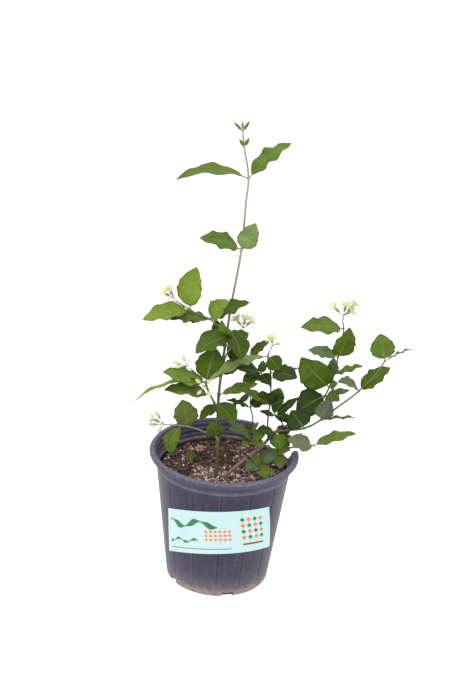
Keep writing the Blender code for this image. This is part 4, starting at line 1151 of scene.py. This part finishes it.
def make_vein_group():
    """A node group over a blade's own map: its veins, its midrib and its puckering."""
    inputs = {"Pairs": VEIN_PAIRS, "Width": VEIN_WIDTH}
    group, (pairs, width), out = new_group("leaf_veins", inputs, ["Vein", "Midrib", "Height"])
    across, up = mapped(group, "blade")
    edge = abs((across - 0.5) * 2.0)
    place = (up - edge ** VEIN_CURVE * VEIN_SWEEP) * pairs
    away = 0.5 - abs(maths("FRACT", place) - 0.5)
    line = spread(away, 0.0, width, 1.0, 0.0) * spread(edge, 0.75, 1.0, 1.0, 0.0)
    rib = spread(edge, 0.02, 0.075, 1.0, 0.0) * spread(up, 0.8, 1.0, 1.0, 0.0)
    feed(out["Vein"], line)
    feed(out["Midrib"], rib)
    feed(out["Height"], speckle(object_place(group), 420, 3) * 0.5 - maths("MAXIMUM", line, rib))
    return group


VEIN_GROUP = make_vein_group()


def leaf_material(name, gain, vein_light, rough, bump_strength, wash, wash_share):
    material, coords = new_material(name)
    vein, midrib, height = signals(add_node(coords.tree, "Group", node_tree=VEIN_GROUP))
    colour = tinted(painted(coords, "tone"), mottled(coords, 55, 0.72 * gain, 1.25 * gain))
    colour = mixed(wash_share, colour, wash)
    pale = tinted(colour, vein_light)
    colour = mixed(vein * VEIN_SHARE, colour, pale)
    colour = mixed(midrib * MIDRIB_SHARE, colour, mixed(0.5, pale, LEAF_TONES["leaf_stalk"]))
    set_shader(material, {"Specular IOR Level": LEAF_SHEEN})
    gloss = spread(speckle(coords, 90), 0.3, 0.7, rough - 0.06, rough + 0.08)
    return finished(material, colour, gloss, height, bump_strength, 0.5)


def toned_material(name, mottle, rough, grain, strength):
    """An even finish in the tone that each point is painted, with a fine grain."""
    material, coords = new_material(name)
    colour = tinted(painted(coords, "tone"), mottled(coords, *mottle))
    return finished(material, colour, rough, speckle(coords, grain), strength, 0.2)


LEAF_MATERIALS = [leaf_material("leaf_upper", 1.0, 1.5, 0.46, 0.7, UPPER_WASH, 0.0),
                  leaf_material("leaf_under", 1.05, 1.35, 0.70, 0.8, UNDER_WASH, 0.2),
                  toned_material("leaf_stalk", (240, 0.8, 1.2), 0.5, 700, 0.3)]


def finish_leaves(name, bm, node):
    piece = new_object(name, bm, *LEAF_MATERIALS)
    piece.data.shade_smooth()
    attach(piece, "root")
    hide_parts(node)


def make_leaf_group(node, run, index, leaves, draw):
    place, ahead, radius = station(run, index)
    at_end = index == len(run_of(run)[3]) - 1
    bm = new_leaf_mesh()
    for reach, width, tone, faces, arch, fold, *bow in leaves:
        reach, bow = Vector(reach), bow[0] if bow else 0
        outwards = reach.normalized() if at_end else (reach - ahead * reach.dot(ahead)).normalized()
        start = outwards * radius * 0.8
        leaf = Leaf(place + start, reach - start, width, Vector(faces), arch, fold, bow, draw)
        add_leaf(bm, leaf, LEAF_TONES[tone])
    finish_leaves(node.replace("leaves", "foliage").replace("leaf", "foliage"), bm, node)


JOINTS = {}
for run, index, _ in LEAF_GROUPS.values():
    JOINTS.setdefault(run, []).append(index)
for node, runs in STEMS.items():
    make_stem(node, runs, JOINTS)
LEAF_DRAW = random.Random(LEAF_SEED)
for node, (run, index, leaves) in LEAF_GROUPS.items():
    make_leaf_group(node, run, index, leaves, LEAF_DRAW)


# Flowers and buds
#
# Clusters at the ends of the shoots: on thin stalks, each flower has a green cup with long thin lobes, a pale
# tube, and either a pointed closed bud or a star of narrow petals. The tall leader ends in a leaf bud.

CREAM, CREAM_YELLOW, PETAL_GREEN = (0.72, 0.71, 0.48), (0.64, 0.63, 0.32), (0.36, 0.40, 0.13)
CUP_GREEN, STALK_BROWN, BRACT_GREEN = (0.20, 0.24, 0.08), (0.11, 0.095, 0.04), (0.085, 0.12, 0.03)
# Where the stalk starts and forks, in millimetres, then each flower's tip from the fork, its kind and tone.
CLUSTERS = {
    "flowers_left": ((-76, -26, 411), (-77, -26, 413), [
        ((-13, -4, 8), "bloom", CREAM), ((-6, -3, 13), "bloom", CREAM), ((-2, -2, 9), "bract", BRACT_GREEN)]),
    "flowers_centre": ((4.7, -15, 362.9), (14, -14, 372), [
        ((-10, -2, 14), "bloom", CREAM), ((2, -2, 15), "bloom", CREAM), ((11, -2, 13), "bloom", CREAM),
        ((-2, -6, 8), "bud", CREAM)]),
    "buds_left": ((-32, -28, 302.2), (-54, -31, 321), [
        ((-22, -3, 7), "bud", CREAM), ((-16, -5, 1), "bud", CREAM), ((-8, -4, 17), "bud", CREAM),
        ((1, 0, 13), "bract", (0.03, 0.045, 0.015))]),
    "buds_front": ((-30, -31.9, 297.6), (-30, -40, 298), [
        ((-12, -6, 12), "knob", CREAM_YELLOW), ((5, -5, 12), "knob", CREAM_YELLOW),
        ((-3, -7, 2), "knob", CREAM_YELLOW), ((-9, -6, -8), "knob", CREAM_YELLOW),
        ((7, -6, -9), "knob", CREAM_YELLOW)]),
    "flowers_low_left": ((-77.6, -12, 226), (-82, -13, 227), [
        ((-12, -4, 20), "bud", CREAM), ((-17, -5, 10), "bloom", CREAM), ((-19, -5, 0), "bud", CREAM),
        ((-7, -6, -9), "bud", CREAM)]),
    "flower_middle": ((51.2, 9, 333.6), (54, 9, 341), [
        ((-10, -2, 5), "bract", PETAL_GREEN), ((-2, -3, 9), "bloom", CREAM_YELLOW),
        ((9, -2, 5), "bud", CREAM_YELLOW), ((6, -4, -1), "bract", PETAL_GREEN)]),
    "flowers_top_right": ((143, 16, 378.6), (143, 16, 386), [
        ((-16, -4, 16), "bloom", CREAM), ((2, -2, 18), "bloom", CREAM_YELLOW), ((16, 2, 20), "bloom", CREAM),
        ((10, -4, 10), "bloom", CREAM_YELLOW)]),
    "bud_right_end": ((204, -23, 350), (212, -24, 360), [((4, -1, 8), "bract", (0.45, 0.22, 0.16))]),
}
CUP_SHARE = {"bloom": 0.3, "bud": 0.42, "knob": 0.42}  # how far along its stalk each kind has its cup
CUP_LOBES, PETALS = 6, 8
TIP_BUD_START, TIP_BUD_RADII = 0.15, [1.5, 2.4, 2.6, 1.9]
# In millimetres: each rod's radii from its start to its end, and the reach of the lobes and the petals.
CLUSTER_STALK, FLOWER_STALK, CUP_RADII = [0.75, 0.75, 0.75], [0.5, 0.5], [0.7, 1.0, 1.0, 0.8]
BRACT_RADII, LOBE_RADII, LOBE_REACH = [0.7, 1.0, 0.9, 0.5], [0.34, 0.3, 0.2], 5.5
TUBE_RADII, PETAL_RADII, PETAL_REACH = [1.1, 1.5, 1.9, 2.3], [1.4, 2.1, 1.7, 0.8], 13.5
BUD_RADII, KNOB_RADII = [1.2, 1.8, 2.4, 2.6, 2.2, 1.3], [1.2, 1.9, 2.4, 2.5, 2.1, 1.2]
LOBE_SPREAD, PETAL_SPREAD = 38, 50  # in degrees from the flower's own axis
FLOWER_SEED = 4


def rod_between(bm, start, end, radii, tone, **shape):
    """A straight rod with its radii evenly spaced, and a point at each end."""
    count = len(radii) + 1
    points = [start.lerp(end, row / count) for row in range(count + 1)]
    add_rod(bm, points, [0] + radii + [0], tone, **shape)


def add_whorl(bm, centre, axis, count, length, radii, tone, spread_angle, flat, draw):
    """Lobes or petals in a ring round an axis, each curved outwards towards its tip."""
    across = axis.cross(Vector((0.3, 0.2, 1))).normalized()
    other = axis.cross(across)
    first = draw.uniform(0, AROUND)
    for number in range(count):
        turn = first + 2 * math.pi * (number + draw.uniform(-0.15, 0.15)) / count
        out = across * math.cos(turn) + other * math.sin(turn)
        tilt = math.radians(spread_angle + draw.uniform(-10, 10))
        reach = length * draw.uniform(0.85, 1.1)
        points = []
        for step in range(len(radii) + 2):
            share = step / (len(radii) + 1)
            lean = tilt * (0.55 + 0.6 * share)
            points.append(centre + (axis * math.cos(lean) + out * math.sin(lean)) * reach * share)
        add_rod(bm, points, [0] + radii + [0], tone, flat=flat, facing=out.cross(axis).cross(axis))


def add_flower(bm, fork, tip, kind, tone, draw):
    axis = tip.normalized()
    length = tip.length
    if kind == "bract":
        rod_between(bm, fork, fork + tip, BRACT_RADII, tone, flat=0.4)
        return
    cup = fork + tip * CUP_SHARE[kind]
    rod_between(bm, fork - axis * 0.5, cup + axis * 0.5, FLOWER_STALK, STALK_BROWN)
    rod_between(bm, cup - axis * 0.6, cup + axis * 2.6, CUP_RADII, CUP_GREEN)
    add_whorl(bm, cup + axis * 1.2, axis, CUP_LOBES, LOBE_REACH, LOBE_RADII, CUP_GREEN, LOBE_SPREAD, 1, draw)
    if kind == "bloom":
        throat = cup + axis * max(4.0, 0.42 * length)
        rod_between(bm, cup + axis, throat + axis, TUBE_RADII, PETAL_GREEN)
        add_whorl(bm, throat, axis, PETALS, PETAL_REACH, PETAL_RADII, tone, PETAL_SPREAD, 0.4, draw)
    elif kind == "bud":
        rod_between(bm, cup + axis, fork + tip + axis * 1.5, BUD_RADII, tone, sides=8)
    else:
        rod_between(bm, cup, fork + tip + axis * 2, KNOB_RADII, tone, sides=8)


def make_tip_bud():
    """The closed leaf bud round the tall leader's last stretch."""
    below, end = (Vector(point) for point in run_of("leader")[3][-2:])
    bm = new_leaf_mesh()
    rod_between(bm, below.lerp(end, TIP_BUD_START), end, TIP_BUD_RADII, LEAF_TONES["bud"], sides=8, flat=0.7)
    piece = new_object("tip_bud", bm, PETAL_MATERIAL)
    piece.data.shade_smooth()
    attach(piece, "root")


def make_cluster(name, foot, fork, flowers, draw):
    foot, fork = Vector(foot), Vector(fork)
    bm = new_leaf_mesh()
    ahead = (fork - foot).normalized()
    rod_between(bm, foot - ahead * 0.8, fork + ahead * 0.5, CLUSTER_STALK, STALK_BROWN, sides=8)
    for tip, kind, tone in flowers:
        add_flower(bm, fork, Vector(tip), kind, tone, draw)
    piece = new_object("blossom_" + name.split("_", 1)[1], bm, PETAL_MATERIAL)
    piece.data.shade_smooth()
    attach(piece, "root")
    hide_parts(name)


PETAL_MATERIAL = toned_material("petal", (180, 0.85, 1.15), 0.55, 600, 0.25)
make_tip_bud()
FLOWER_DRAW = random.Random(FLOWER_SEED)
for name, (foot, fork, flowers) in CLUSTERS.items():
    make_cluster(name, foot, fork, flowers, FLOWER_DRAW)


# What lies and sprouts on the bed
#
# A shed flower that has turned pink, a shed round leaf that leans on a crumb, and a seedling. They lie loose
# on the mix, but for the seedling, which is rooted in it.

FALLEN_PINK, FALLEN_RED = (0.62, 0.33, 0.36), (0.33, 0.10, 0.13)
SHED_TUBE = [1.0, 1.3, 1.0]  # its radii in millimetres
# The shed flower's open outer petals and its closer inner ones: how many, their reach, radii and tone.
SHED_OUTER = (PETALS, 9.5, [0.8, 1.2, 1.1, 0.6], FALLEN_PINK)
SHED_INNER = (5, 7.5, [0.5, 0.7, 0.5], FALLEN_RED)
SHED_OUTER_SPREAD, SHED_INNER_SPREAD = 58, 30  # in degrees from the flower's own axis
SPROUT_LEAVES = [((-6, -2, 3), 4), ((6, -3, 4), 4)]  # each leaf's reach and width
SHED_FLOWER_SEED, SHED_LEAF_SEED, SPROUT_SEED = 3, 2, 6


def make_fallen_flower(centre, draw):
    bm = new_leaf_mesh()
    axis = Vector((0.1, -0.5, 0.85)).normalized()
    centre = Vector(centre)
    rod_between(bm, centre - axis * 2, centre + axis * 1.5, SHED_TUBE, FALLEN_RED)
    add_whorl(bm, centre, axis, *SHED_OUTER, SHED_OUTER_SPREAD, 0.4, draw)
    add_whorl(bm, centre, axis, *SHED_INNER, SHED_INNER_SPREAD, 0.5, draw)
    piece = new_object("shed_flower", bm, PETAL_MATERIAL)
    piece.data.shade_smooth()
    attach(piece, "root")
    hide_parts("fallen_flower")


def make_soil_leaf(foot, reach, width, draw):
    bm = new_leaf_mesh()
    leaf = Leaf(Vector(foot), Vector(reach), width, Vector((0, -1, 0.7)), 0.04, 6, 0, draw)
    add_leaf(bm, leaf, LEAF_TONES["mature"])
    finish_leaves("shed_leaf", bm, "soil_leaf")


def make_sprout(foot, top, leaves, draw):
    bm = new_leaf_mesh()
    foot, top = Vector(foot), Vector(top)
    add_rod(bm, [foot.lerp(top, share) for share in (-0.3, 0, 0.5, 1, 1.1)], [0, 0.6, 0.5, 0.4, 0],
            LEAF_TONES["yellow"], material=2)
    for reach, width in leaves:
        leaf = Leaf(foot.lerp(top, 0.9), Vector(reach), width, Vector((0, 0, 1)), 0.1, 10, 0, draw)
        add_leaf(bm, leaf, LEAF_TONES["yellow"])
    piece = new_object("seedling", bm, *LEAF_MATERIALS)
    piece.data.shade_smooth()
    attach(piece, "root")
    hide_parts("sprout")


make_fallen_flower((-34, 46, 162.1), random.Random(SHED_FLOWER_SEED))
make_soil_leaf((-45, 14, 159.7), (-2, 9, 12), 14, random.Random(SHED_LEAF_SEED))
make_sprout((14, 44, 159.4), (14, 44, 163), SPROUT_LEAVES, random.Random(SPROUT_SEED))
